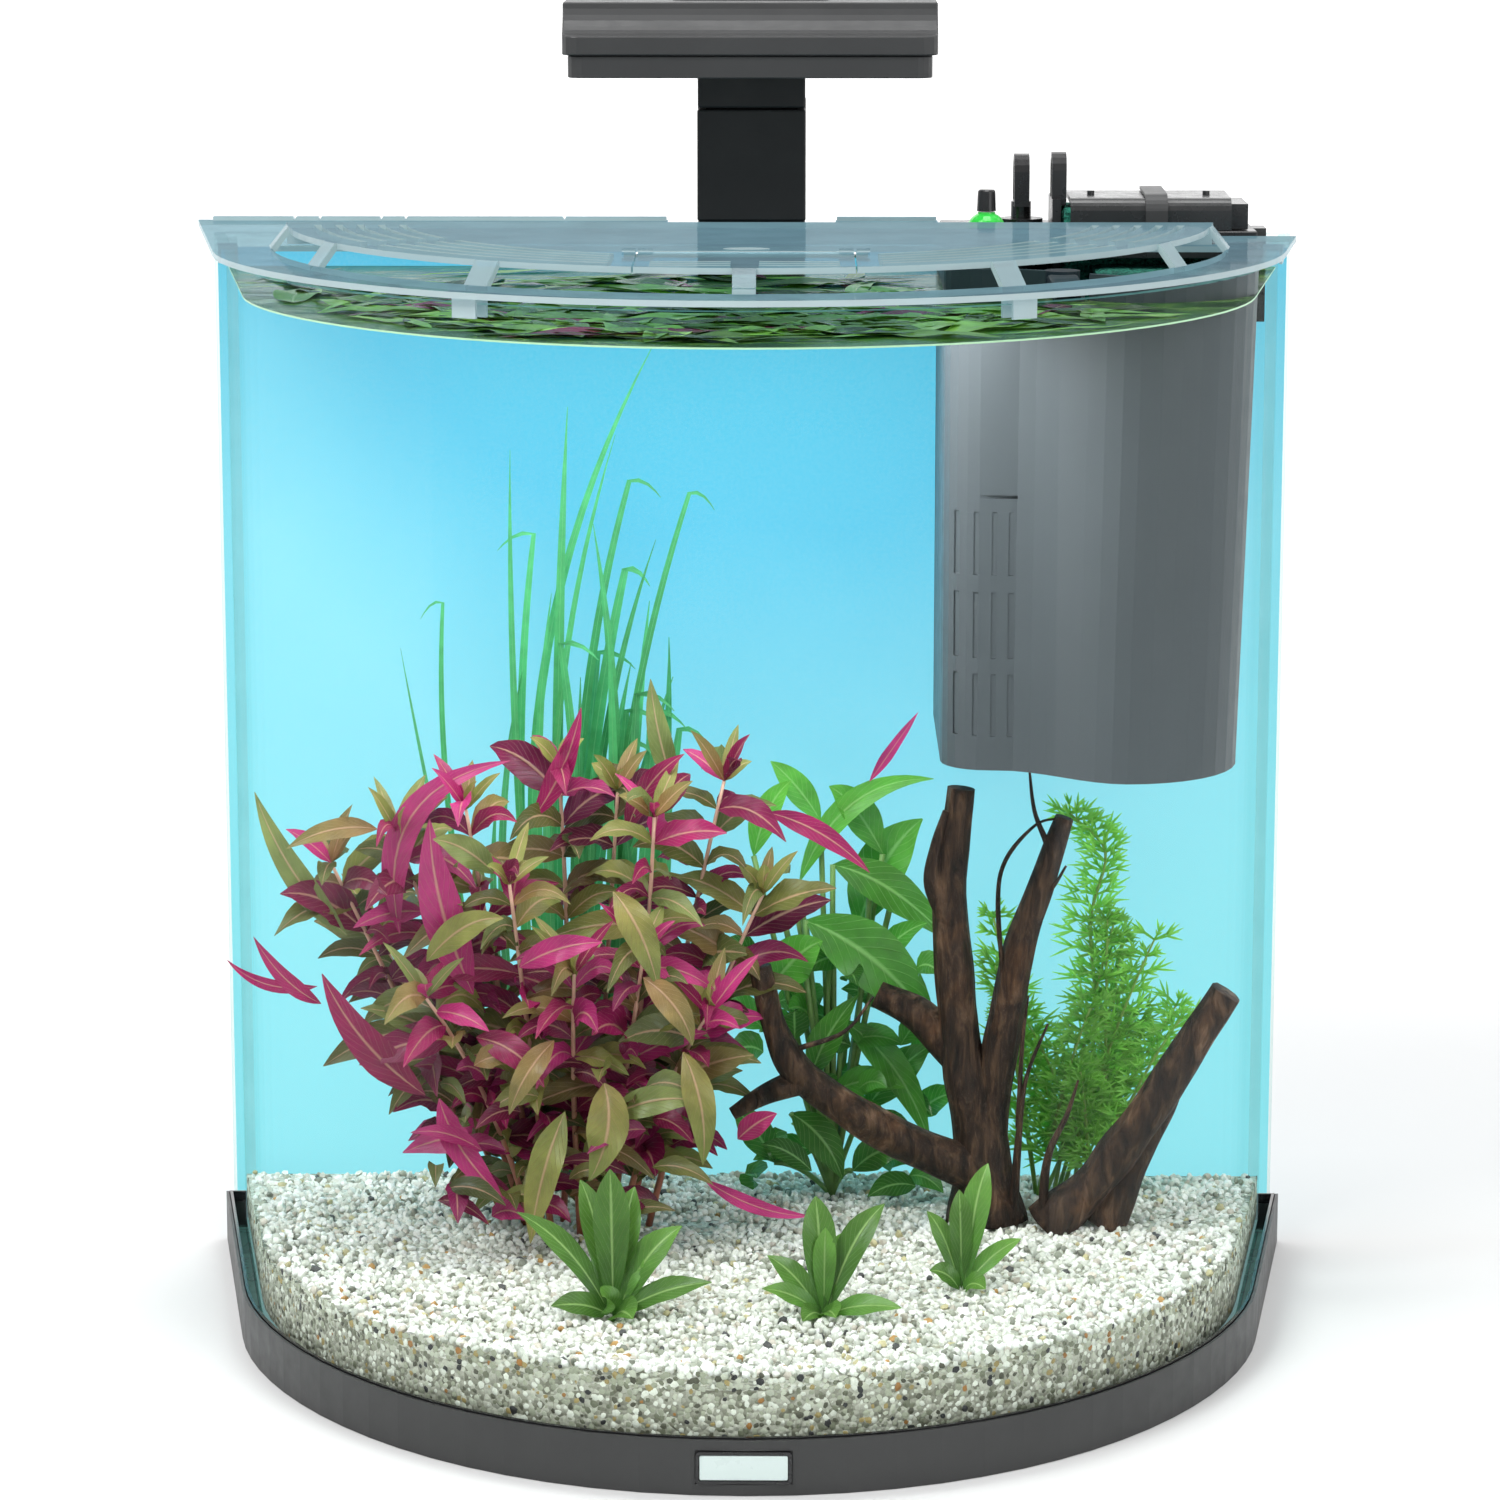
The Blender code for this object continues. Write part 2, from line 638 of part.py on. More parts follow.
def make_flap():
    t = bow_where_x(FLAP_HALF, PLATFORM_INSET)
    front = bow_points(PLATFORM_INSET, t, 1.0, 6)
    back = FLAP_AXIS_Y + 0.0004
    loop = [(FLAP_HALF, back)] + front + mirrored(front)[1:] + [(-FLAP_HALF, back)]
    flap = plate("feed_flap", [loop], PLATFORM_TOP - LID_SHEET, PLATFORM_TOP)
    tab = strut("flap_tab", bow_at(1.0, PLATFORM_INSET), Vector((0, -1)), 0.0074, GAP)
    lugs = []
    for side in (-1, 1):
        start, end = sorted((side * 0.0300, side * (FLAP_HALF - 0.0001)))
        lugs.append(rod("flap_lug", (start, FLAP_AXIS_Y, FLAP_AXIS_Z), (end, FLAP_AXIS_Y, FLAP_AXIS_Z), 0.0021, 16))
    group_boolean(flap, "UNION", "flap_joined", [tab] + lugs)
    slots = []
    for y in (-0.0955, -0.1020, -0.1085):
        for side in (-1, 1):
            start, end = sorted((side * 0.0045, side * 0.0300))
            slots.append(box("flap_slot", (start, y - 0.0013, 0.380), (end, y + 0.0013, 0.400)))
    group_boolean(flap, "DIFFERENCE", "flap_slots", slots)
    cut(flap, rod("flap_bore", (-0.041, FLAP_AXIS_Y, FLAP_AXIS_Z), (0.041, FLAP_AXIS_Y, FLAP_AXIS_Z), 0.0012, 12))
    set_origin(flap, (0, FLAP_AXIS_Y, FLAP_AXIS_Z))
    place(flap, SMOKY)
    pin = rod("flap_hinge_pin", (-0.0390, FLAP_AXIS_Y, FLAP_AXIS_Z), (0.0390, FLAP_AXIS_Y, FLAP_AXIS_Z), 0.0009, 12)
    place(pin, STEEL)


def set_origin(obj, where):
    """Moves the object's origin, and leaves its shape where it is."""
    target = Matrix.Translation(where)
    obj.data.transform(target.inverted() @ obj.matrix_basis)
    obj.matrix_basis = target


# ---------------------------------------------------------------- lamp

def make_lamp_mount():
    jaw = BACK_PANE_Y - 2 * GAP
    loop = [(ARM_FRONT, 0.3650), (jaw, 0.3650), (jaw, GLASS_TOP + GAP), (0.1440, GLASS_TOP + GAP), (0.1440, 0.3550),
            (ARM_BACK, 0.3550), (ARM_BACK, JOINT_LINE - 0.0406), (ARM_FRONT, JOINT_LINE - 0.0406)]
    clamp = upright("lamp_clamp", [loop], 2 * ARM_HALF - 0.0004)
    cut(clamp, rod("screw_bore", (0, 0.142, SCREW_Z), (0, 0.153, SCREW_Z), 0.0025))
    place(bevel(clamp, 0.0005, 1), BLACK)
    pad = rod("clamp_pad", (0, 0.1400, SCREW_Z), (0, 0.1420, SCREW_Z), 0.0060)
    place(pad, RUBBER)
    screw = rod("clamp_screw", (0, 0.1423, SCREW_Z), (0, 0.1540, SCREW_Z), 0.0022)
    grip = rod("grip", (0, 0.1520, SCREW_Z), (0, 0.1570, SCREW_Z), 0.0065)
    grooves = []
    for i in range(10):
        angle = math.tau * i / 10
        x, z = 0.0069 * math.cos(angle), SCREW_Z + 0.0069 * math.sin(angle)
        grooves.append(rod("groove", (x, 0.1515, z), (x, 0.1575, z), 0.0009, 8))
    join(screw, grip)
    group_boolean(screw, "DIFFERENCE", "grip_grooves", grooves)
    place(screw, BLACK)


def make_column():
    foot, top = JOINT_LINE - 0.0403, JOINT_LINE - GAP
    column = bevel(box("lamp_column", (-ARM_HALF, ARM_FRONT, foot), (ARM_HALF, ARM_BACK, top)), 0.0007, 2)
    relief = box("hinge_relief", (-0.03, TILT_Y - GAP, JOINT_LINE - KNUCKLE - GAP), (0.03, 0.16, 0.44))
    cut(column, relief)
    for side in (-1, 1):
        start, end = sorted((side * (TONGUE_HALF + GAP), side * ARM_HALF))
        join(column, rod("column_knuckle", (start, TILT_Y, JOINT_LINE), (end, TILT_Y, JOINT_LINE), KNUCKLE))
    clearance = rod("tongue_clearance", (-TONGUE_HALF - GAP, TILT_Y, JOINT_LINE),
                    (TONGUE_HALF + GAP, TILT_Y, JOINT_LINE), KNUCKLE + GAP)
    bore = rod("column_pin_bore", (-0.03, TILT_Y, JOINT_LINE), (0.03, TILT_Y, JOINT_LINE), 0.0015)
    hollow = box("cable_way", (-0.0165, ARM_FRONT + 0.0025, foot - 0.01), (0.0165, TILT_Y - 0.0060, 0.43))
    gland_hole = rod("gland_hole", (0, 0.140, 0.3960), (0, 0.155, 0.3960), 0.0032)
    cut(column, clearance, bore, hollow, gland_hole)
    place(column, BLACK)
    profile = [(0.0017, 0.0056), (0.0026, 0.0056), (0.0046, 0.0020), (0.0046, GAP), (0.0029, GAP), (0.0029, -0.0025),
               (0.0017, -0.0025), (0.0017, 0.0056)]
    gland = turned("cable_gland", profile, (0, 0))
    gland.location = (0, ARM_BACK, 0.3960)
    gland.rotation_euler = (math.radians(-90), 0, 0)
    place(gland, BLACK)


def make_neck():
    foot, top = JOINT_LINE + GAP, TRAY_TOP
    neck = bevel(box("lamp_neck", (-ARM_HALF + 0.0002, ARM_FRONT, foot), (ARM_HALF - 0.0002, ARM_BACK, top)), 0.0007, 2)
    for side in (-1, 1):
        start, end = sorted((side * TONGUE_HALF, side * 0.03))
        cut(neck, rod("knuckle_clearance", (start, TILT_Y, JOINT_LINE), (end, TILT_Y, JOINT_LINE), KNUCKLE + GAP))
    join(neck, rod("neck_knuckle", (-TONGUE_HALF, TILT_Y, JOINT_LINE), (TONGUE_HALF, TILT_Y, JOINT_LINE), KNUCKLE))
    bore = rod("neck_pin_bore", (-0.03, TILT_Y, JOINT_LINE), (0.03, TILT_Y, JOINT_LINE), 0.0015)
    hollow = box("neck_way", (-0.0165, ARM_FRONT + 0.0025, 0.42), (0.0165, TILT_Y - 0.0060, 0.46))
    cut(neck, bore, hollow)
    set_origin(neck, (0, TILT_Y, JOINT_LINE))
    place(neck, BLACK)
    pin = rod("lamp_hinge_pin", (-0.0190, TILT_Y, JOINT_LINE), (0.0190, TILT_Y, JOINT_LINE), 0.0012, 16)
    place(pin, STEEL)


def head_plan(half, front, back):
    """A rectangle with rounded front corners."""
    corner = 0.0052
    points = [(half, back)] + ellipse(half - corner, front + corner, corner, corner, 0, -90, 4)
    return points + mirrored(points)


def make_head():
    low, band_top = TRAY_TOP + GAP, 0.4553
    cove = ellipse(HEAD_FRONT, HEAD_TOP, 0.0120, HEAD_TOP - band_top, 270, 360, 8)
    profile = [(ARM_BACK, low), (HEAD_FRONT, low)] + cove + [(ARM_BACK - 0.0015, HEAD_TOP), (ARM_BACK, HEAD_TOP - 0.002)]
    housing = upright("lamp_housing", [profile], 2 * HEAD_HALF + 0.01)
    boolean(housing, "INTERSECT", plate("housing_plan", [head_plan(HEAD_HALF, HEAD_FRONT, ARM_BACK)], 0.44, 0.48))
    hollow = box("housing_hollow", (-0.0620, 0.0840, 0.440), (0.0620, 0.1270, 0.4640))
    cut(housing, hollow)
    place(bevel(housing, 0.0005, 2, 50), CHARCOAL)
    cap = plate("lamp_cap", [rounded_rectangle((-0.0275, 0.1000), (0.0275, 0.1490), 0.003)],
                HEAD_TOP + GAP, HEAD_TOP + 0.0017)
    place(bevel(cap, 0.0004, 1, 60), BLACK)
    tray = plate("lamp_tray", [head_plan(HEAD_HALF - 0.0019, HEAD_FRONT + 0.0015, 0.1300)], HEAD_BOTTOM, TRAY_TOP)
    ledge = box("tray_pocket", (-0.0600, 0.0770, HEAD_BOTTOM + 0.0020), (0.0600, 0.1255, 0.46))
    window = box("tray_window", (-0.0570, 0.0800, 0.43), (0.0570, 0.1225, 0.46))
    place(bevel(cut(tray, ledge, window), 0.0005, 2, 50), CHARCOAL)
    lens = box("lamp_diffuser", (-0.0597, 0.0773, HEAD_BOTTOM + 0.0023), (0.0597, 0.1252, HEAD_BOTTOM + 0.0040))
    place(bevel(lens, 0.0003, 1), CLEAR)
    board = box("led_board", (-0.0590, 0.0785, HEAD_BOTTOM + 0.0046), (0.0590, 0.1240, HEAD_BOTTOM + 0.0062))
    leds = []
    for row in (0.0890, 0.1135):
        for i in range(9):
            x = -0.048 + i * 0.012
            leds.append(box("led", (x - 0.0017, row - 0.0017, HEAD_BOTTOM + 0.0042),
                            (x + 0.0017, row + 0.0017, HEAD_BOTTOM + 0.0050)))
    group_boolean(board, "UNION", "leds", leds)
    place(board, BOARD)


# ---------------------------------------------------------------- filter

def box_loop():
    """The filter box in plan, clockwise: flat back, straight sides, a small lobe and a large one in front."""
    right = 0.1755
    points = [(BOX_LEFT, BOX_BACK), (right + 0.0025, BOX_BACK)]
    points += ellipse(0.133, 0.045, right - 0.133, 0.044, 0, -90, 9)
    wave_start, wave_end, depth = 0.087, 0.133, 0.024
    for i in range(1, 8):
        share = i / 8
        x = wave_end + (wave_start - wave_end) * share
        points.append((x, 0.001 + depth * (1 - math.cos(math.pi * share)) / 2))
    points += ellipse(BOX_LEFT + 0.017, 0.042, 0.017, 0.017, 270, 180, 6)
    return points


def taper(obj, bottom):
    """Draws the lower end of the box in a little from the right."""
    for vertex in obj.data.vertices:
        height = (vertex.co.z + obj.location.z - bottom) / (BOX_TOP - bottom)
        share = 0.955 + 0.045 * min(1, height)
        vertex.co.x = BOX_LEFT + (vertex.co.x - BOX_LEFT) * share


def make_filter_box():
    loop = box_loop()
    shell = plate("filter_box", [loop], BOX_BOTTOM, BOX_TOP)
    taper(shell, BOX_BOTTOM)
    inner = plate("box_hollow", [inset_loop(loop, BOX_WALL)], BOX_BOTTOM + BOX_WALL, BOX_TOP + 0.010)
    taper(inner, BOX_BOTTOM)
    slots = []
    for low, high in ((0.2170, 0.2390), (0.2445, 0.2675), (0.2735, 0.2955)):
        for x in (0.0719, 0.0784, 0.0846, 0.0904):
            slots.append(box("intake_slot", (x - 0.0009, 0.015, low), (x + 0.0009, 0.042, high)))
    slots.append(box("panel_groove", (0.0600, 0.0150, 0.3002), (0.0925, 0.0256, 0.3014)))
    slots.append(box("spout_notch", (RISER[0] - 0.0072, -0.005, 0.3680), (RISER[0] + 0.0072, 0.0300, 0.390)))
    group_boolean(cut(shell, inner), "DIFFERENCE", "box_cuts", slots)
    place(shell, GREY)


def make_deck():
    low = BOX_TOP + GAP
    deck = box("filter_deck", (0.0680, 0.0600, low), (0.1785, BOX_BACK, 0.3828))
    step = box("deck_step", (0.0680, STEP_FRONT, 0.3815), (0.1785, BOX_BACK, DECK_TOP))
    join(deck, step)
    x, y = HEATER
    cut(deck, rod("heater_hole", (x, y, 0.37), (x, y, 0.40), 0.0054))
    x, y = COARSE
    cut(deck, rod("coarse_hole", (x, y, 0.37), (x, y, 0.40), 0.0068))
    slot = box("bio_slot", (BIO_LEFT - GAP, BIO_FRONT - 0.0010, 0.37), (BIO_RIGHT + GAP, BIO_BACK + 0.0010, 0.40))
    cut(deck, slot)
    place(bevel(deck, 0.0004, 1), BLACK)
    rear = BACK_PANE_Y + PANE + GAP + FILM + GAP
    loop = [(BOX_BACK + GAP, 0.3500), (BOX_BACK + 0.0035, 0.3500), (BOX_BACK + 0.0035, GLASS_TOP + GAP),
            (rear, GLASS_TOP + GAP), (rear, 0.3680), (rear + 0.0018, 0.3680), (rear + 0.0018, GLASS_TOP + 0.0023),
            (BOX_BACK + GAP, GLASS_TOP + 0.0023)]
    place(upright("filter_hook", [loop], 0.1108, (0.1306, 0)), BLACK)


def make_heater():
    x, y = HEATER
    tube = [(0, DECK_TOP), (0.0050, DECK_TOP), (0.0050, 0.2290), (0.0036, 0.2258), (0, 0.2250)]
    place(turned("heater_tube", tube, HEATER), GLASS)
    low = DECK_TOP + GAP
    dome = [(0, low + 0.0056)] + [(r, low + z) for r, z in ellipse(0, 0, 0.0067, 0.0056, 62, 0, 6)] + [(0, low)]
    dome.insert(1, (0.0030, low + 0.0056))
    place(turned("heater_collar", dome, HEATER), GREEN)
    knob_low = low + 0.0056 + GAP
    knob = turned("heater_knob", [(0, 0.4005), (0.0026, 0.4005), (0.0031, 0.3999), (0.0034, knob_low), (0, knob_low)],
                  HEATER)
    ribs = []
    for i in range(8):
        angle = math.tau * i / 8
        ribs.append(rod("rib_groove", (x + 0.0036 * math.cos(angle), y + 0.0036 * math.sin(angle), 0.39),
                        (x + 0.0036 * math.cos(angle), y + 0.0036 * math.sin(angle), 0.402), 0.0004, 6))
    group_boolean(knob, "DIFFERENCE", "knob_ribs", ribs)
    place(knob, BLACK)


def handle_loop(low, high, half, wall):
    """A tall finger loop seen from its side."""
    shoulder = high - half
    outer = [(half, low), (half, shoulder)] + ellipse(0, shoulder, half, half, 0, 180, 8)[1:-1]
    outer += [(-half, shoulder), (-half, low)]
    thin = half - wall
    inner = [(thin, low + 0.002), (thin, shoulder)] + ellipse(0, shoulder, thin, thin, 0, 180, 8)[1:-1]
    inner += [(-thin, shoulder), (-thin, low + 0.002)]
    return [outer, inner]


def make_coarse_cartridge():
    low = DECK_TOP + GAP
    profile = [(0, 0.3950), (0.0036, 0.3950), (0.0036, low + 0.0020), (0.0078, low + 0.0020), (0.0078, low),
               (0.0064, low), (0.0064, 0.2290), (0.0052, 0.2260), (0, 0.2260)]
    body = turned("coarse_cartridge", profile, COARSE)
    join(body, upright("coarse_loop", handle_loop(0.3935, 0.4120, 0.0062, 0.0020), 0.0054, COARSE))
    place(body, BLACK)


def make_bio_cartridge():
    loops = [(BIO_LEFT, BIO_LEFT + END_PLATE), (BIO_RIGHT - END_PLATE, BIO_RIGHT)]
    frame = box("bio_frame", (loops[0][0], BIO_FRONT, 0.2200), (loops[0][1], BIO_BACK, 0.3975))
    far = box("far_plate", (loops[1][0], BIO_FRONT, 0.2200), (loops[1][1], BIO_BACK, 0.3900))
    flange = box("flange", (loops[1][0] + 0.0002, BIO_FRONT, DECK_TOP + GAP), (FLANGE_RIGHT, BIO_BACK, 0.3960))
    sole = box("sole", (BIO_LEFT + 0.001, BIO_FRONT, 0.2200), (BIO_RIGHT - 0.001, BIO_BACK, 0.2228))
    handle = upright("bio_loop", handle_loop(0.3950, 0.4135, 0.0062, 0.0020), 0.0052, (BIO_LEFT + 0.0026, 0.1000))
    join(frame, far, flange, sole, handle)
    place(frame, BLACK)
    foam_left, foam_right = BIO_LEFT + END_PLATE + GAP, BIO_RIGHT - END_PLATE - GAP
    foam = box("bio_foam", (foam_left, BIO_FRONT, 0.2231), (foam_right, BIO_BACK, 0.3945))
    place(bevel(foam, 0.0008, 2), FOAM)
    make_cover(0.1127, 0.1693)


def cover_shape(out):
    """The hood's outer line in section, moved out by the given distance."""
    return [(BIO_FRONT - 0.0047 - out, 0.3940)] + ellipse(0.0888, 0.3932, 0.0050 + out, 0.0050 + out, 165, 95, 5)


def hood_section(out, wall, back):
    top, low = 0.3986, DECK_TOP + GAP
    outer = [(BIO_FRONT - 0.0047 - out, low)] + cover_shape(out) + [(back, top + out)]
    inner = [(BIO_FRONT - 0.0047 - out + wall, low)] + cover_shape(out - wall) + [(back, top + out - wall)]
    return outer + inner[::-1]


def make_cover(left, right):
    middle = (left + right) / 2
    hood = upright("cartridge_cover", [hood_section(0, 0.0020, 0.1160)], right - left, (middle, 0))
    for x in (0.1206, 0.1615):
        join(hood, rod("stud", (x, 0.100, 0.3975), (x, 0.100, 0.3998), 0.0013, 12))
    place(hood, GREY)
    clip = upright("cover_clip", [hood_section(0.0015, 0.0011, 0.1168)], 0.0078, (0.1429, 0))
    place(clip, CHARCOAL)


def make_prefilter():
    loop = inset_loop(box_loop(), BOX_WALL + 0.0012)
    foam = plate("prefilter_foam", [loop], BOX_BOTTOM + BOX_WALL + GAP, 0.3760)
    taper(foam, BOX_BOTTOM)
    keep = box("foam_zone", (0.1200, -0.010, 0.20), (0.1690, 0.0800, 0.40))
    boolean(foam, "INTERSECT", keep)
    place(foam, FOAM)


def make_pump():
    x, y = PUMP
    floor = BOX_BOTTOM + BOX_WALL + GAP
    body = rod("pump_body", (x, y, floor), (x, y, 0.2450), 0.0150)
    chamber = rod("impeller_chamber", (x, y, 0.2150), (x, y, 0.26), 0.0105)
    riser = rod("riser", (*RISER, floor), (*RISER, 0.3650), 0.0055)
    web = box("pump_web", (x + 0.010, y - 0.003, floor), (RISER[0], y + 0.003, 0.2420))
    join(body, riser, web)
    cut(body, chamber)
    place(body, BLACK)
    place(rod("impeller_shaft", (x, y, 0.2153), (x, y, 0.2400), 0.0013, 12), CERAMIC)
    impeller = rod("impeller", (x, y, 0.2170), (x, y, 0.2320), 0.0040)
    blades = [box("blade", (x - 0.0088, y - 0.0007, 0.2172), (x + 0.0088, y + 0.0007, 0.2310)),
              box("blade", (x - 0.0007, y - 0.0088, 0.2172), (x + 0.0007, y + 0.0088, 0.2310))]
    group_boolean(impeller, "UNION", "blades", blades)
    cut(impeller, rod("shaft_bore", (x, y, 0.21), (x, y, 0.24), 0.0016, 12))
    place(impeller, BLACK)
    nozzle = rod("outlet_nozzle", (*RISER, 0.3653), (*RISER, 0.3765), 0.0062)
    spout = box("spout", (RISER[0] - 0.0055, 0.0050, 0.3695), (RISER[0] + 0.0055, RISER[1], 0.3755))
    way = box("spout_way", (RISER[0] - 0.0042, 0.0000, 0.3708), (RISER[0] + 0.0042, RISER[1], 0.3742))
    join(nozzle, bevel(spout, 0.0015, 2))
    place(cut(nozzle, way), GREY)


clear_scene()
make_skirt()
make_feet()
make_badge()
make_glass()
make_seams()
make_backdrop()
make_gravel()
make_wood()
make_plants()
make_clips()
make_lid()
make_flap()
make_lamp_mount()
make_column()
make_neck()
make_head()
make_filter_box()
make_deck()
make_heater()
make_coarse_cartridge()
make_bio_cartridge()
make_prefilter()
make_pump()
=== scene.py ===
import math
import random

import bmesh
import bpy
import numpy as np
from mathutils import Matrix, Vector, noise
from mathutils.bvhtree import BVHTree


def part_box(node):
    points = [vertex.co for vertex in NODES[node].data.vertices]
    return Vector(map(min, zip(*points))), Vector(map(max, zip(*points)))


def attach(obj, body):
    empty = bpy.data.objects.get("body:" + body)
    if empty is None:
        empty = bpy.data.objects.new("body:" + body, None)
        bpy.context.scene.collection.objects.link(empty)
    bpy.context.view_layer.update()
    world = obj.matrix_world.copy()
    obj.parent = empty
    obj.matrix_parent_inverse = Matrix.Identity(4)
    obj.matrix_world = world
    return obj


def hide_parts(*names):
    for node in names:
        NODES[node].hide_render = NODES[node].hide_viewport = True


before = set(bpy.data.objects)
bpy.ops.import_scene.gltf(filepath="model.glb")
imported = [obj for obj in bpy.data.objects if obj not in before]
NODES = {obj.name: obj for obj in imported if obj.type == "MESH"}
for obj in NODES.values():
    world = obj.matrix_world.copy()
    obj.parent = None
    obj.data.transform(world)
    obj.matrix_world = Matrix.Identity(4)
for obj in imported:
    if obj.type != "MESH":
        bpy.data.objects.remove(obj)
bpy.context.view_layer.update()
WATER_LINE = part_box("front_glass")[1].z - 0.0115
# The film's glow and the milky glow of hazy clear sheets are painted light: neither part is a lamp.
FILM_PAINTED_GLOW, FILM_PAINT, MILK_PAINTED_GLOW = 0.81, 0.16, 1.2
WHITE, BLACK = (1, 1, 1), (0, 0, 0)
# The filter box's intake slots, measured from its left lower corner, and the slats sunk into them.
INTAKE_SLOTS = (0.0049, 0.0114, 0.0176, 0.0234)
INTAKE_ROWS = ((0.0120, 0.0340), (0.0395, 0.0625), (0.0685, 0.0905))
LOUVRE_SINK, LOUVRE_HALF, LOUVRE_REACH, SLOT_HALF, SLOT_GAP = 0.0003, 0.0010, 0.0019, 0.0014, 0.0001


# ---------------------------------------------------------------- node materials

class Look:
    """A node material, built a node at a time."""

    def __init__(self, name):
        self.material = bpy.data.materials.new(name)
        self.material.use_nodes = True
        self.tree = self.material.node_tree
        self.tree.nodes.clear()
        self.output = self.tree.nodes.new("ShaderNodeOutputMaterial")

    def feed(self, socket, value):
        if isinstance(value, bpy.types.NodeSocket):
            self.tree.links.new(value, socket)
        elif socket.type == "RGBA" and len(value) == 3:
            socket.default_value = (*value, 1)
        else:
            socket.default_value = value

    def node(self, kind, inputs=None, **settings):
        node = self.tree.nodes.new("ShaderNode" + kind)
        for key, value in settings.items():
            setattr(node, key, value)
        for key, value in (inputs or {}).items():
            self.feed(node.inputs[key], value)
        return node

    def place(self, stretch=(1, 1, 1), turn=(0, 0, 0)):
        coords = self.node("TexCoord").outputs["Object"]
        return self.node("Mapping", {"Vector": coords, "Scale": stretch, "Rotation": turn}).outputs[0]

    def uv(self):
        return self.node("TexCoord").outputs["UV"]

    def split(self, vector):
        return self.node("SeparateXYZ", {"Vector": vector}).outputs

    def noise(self, scale, detail=3.0, rough=0.5, warp=0.0, at=None):
        inputs = {"Vector": at or self.place(), "Scale": scale, "Detail": detail, "Roughness": rough,
                  "Distortion": warp}
        return self.node("TexNoise", inputs).outputs["Fac"]

    def cells(self, scale, output="Distance", feature="F1"):
        inputs = {"Vector": self.place(), "Scale": scale}
        return self.node("TexVoronoi", inputs, feature=feature).outputs[output]

    def math(self, operation, a, b=0.0):
        return self.node("Math", {0: a, 1: b}, operation=operation).outputs[0]

    def times(self, a, b):
        return self.math("MULTIPLY", a, b)

    def remap(self, value, low, high, to_low=0.0, to_high=1.0):
        inputs = {"Value": value, "From Min": low, "From Max": high, "To Min": to_low, "To Max": to_high}
        return self.node("MapRange", inputs).outputs[0]

    def clouds(self, low, high, scale, detail=3.0, rough=0.5):
        """Noise spread between two values."""
        return self.remap(self.noise(scale, detail, rough), 0.3, 0.7, low, high)

    def ramp(self, value, *stops):
        node = self.node("ValToRGB", {"Fac": value})
        elements = node.color_ramp.elements
        while len(elements) < len(stops):
            elements.new(0.5)
        for element, (position, colour) in zip(elements, stops):
            element.position = position
            element.color = (*colour, 1)
        return node.outputs["Color"]

    def mix(self, share, a, b, blend="MIX"):
        node = self.node("Mix", data_type="RGBA", blend_type=blend)
        self.feed(node.inputs[0], share)
        self.feed(node.inputs[6], a)
        self.feed(node.inputs[7], b)
        return node.outputs[2]

    def bump(self, height, strength, distance, under=None):
        inputs = {"Height": height, "Strength": strength, "Distance": distance}
        if under:
            inputs["Normal"] = under
        return self.node("Bump", inputs).outputs[0]

    def principled(self, colour, roughness, **more):
        inputs = {"Base Color": colour, "Roughness": roughness}
        inputs.update({key.replace("_", " "): value for key, value in more.items()})
        return self.node("BsdfPrincipled", inputs).outputs[0]

    def blend(self, share, a, b):
        return self.node("MixShader", {0: share, 1: a, 2: b}).outputs[0]

    def attribute(self, name):
        return self.node("Attribute", attribute_name=name).outputs["Color"]

    def level(self):
        """The upward part of a face's own normal."""
        return self.split(self.node("NewGeometry").outputs["True Normal"])[2]

    def upright(self):
        """0 on level faces, 1 on upright ones."""
        return self.remap(self.math("ABSOLUTE", self.level()), 0.92, 0.35)

    def clear(self, colour):
        return self.node("BsdfTransparent", {"Color": colour}).outputs[0]

    def lit(self, shader, colour, strength):
        """The shader with a glow of its own."""
        glow = self.node("Emission", {"Color": colour, "Strength": strength}).outputs[0]
        return self.node("AddShader", {0: shader, 1: glow}).outputs[0]

    def done(self, shader):
        self.feed(self.output.inputs["Surface"], shader)
        return self.material


def moulded(name, colour, roughness, grain, depth, spread=0.12, specular=0.5):
    """Injection-moulded plastic: a fine grain, faint clouds in the colour, rubbed spots in the gloss."""
    look = Look(name)
    pale = tuple(min(1, c * (1 + spread) + 0.004) for c in colour)
    dark = tuple(c * (1 - spread) for c in colour)
    base = look.mix(look.noise(35, 2), dark, pale)
    gloss = look.clouds(roughness - 0.05, roughness + 0.07, 140, 4, 0.6)
    skin = look.bump(look.noise(grain, 2, 0.6), 0.35, depth)
    return look.done(look.principled(base, gloss, Normal=skin, Specular_IOR_Level=specular))


def clear_pane(name, tint, milk, shine, rough, haze=0.0):
    """Clear sheet: it lets light straight through, tinted more where it is seen edgewise, with a weak mirror
    and, with a haze, a little milk that glows evenly, a painted glow standing in for light scattered in the
    sheet."""
    look = Look(name)
    facing = look.node("LayerWeight", {"Blend": 0.5}).outputs["Facing"]
    edgewise = look.times(look.math("POWER", facing, 9.0), 0.30)
    through = look.clear(look.mix(edgewise, tuple(c * (1 - haze) for c in tint), milk))
    wave = look.bump(look.noise(12, 2), 0.15, 0.0006)
    mirror = look.node("BsdfGlossy", {"Color": WHITE, "Roughness": rough, "Normal": wave}).outputs[0]
    fresnel = look.node("Fresnel", {"IOR": 1.45}).outputs[0]
    pane = look.blend(look.times(fresnel, shine), through, mirror)
    # The haze's milk glows: painted light standing in for light scattered in the sheet.
    if haze:
        painted_haze_glow = haze * MILK_PAINTED_GLOW
        pane = look.lit(pane, milk, look.clouds(painted_haze_glow * 0.85, painted_haze_glow * 1.15, 60))
        look.material.cycles.emission_sampling = "NONE"
    return look, pane


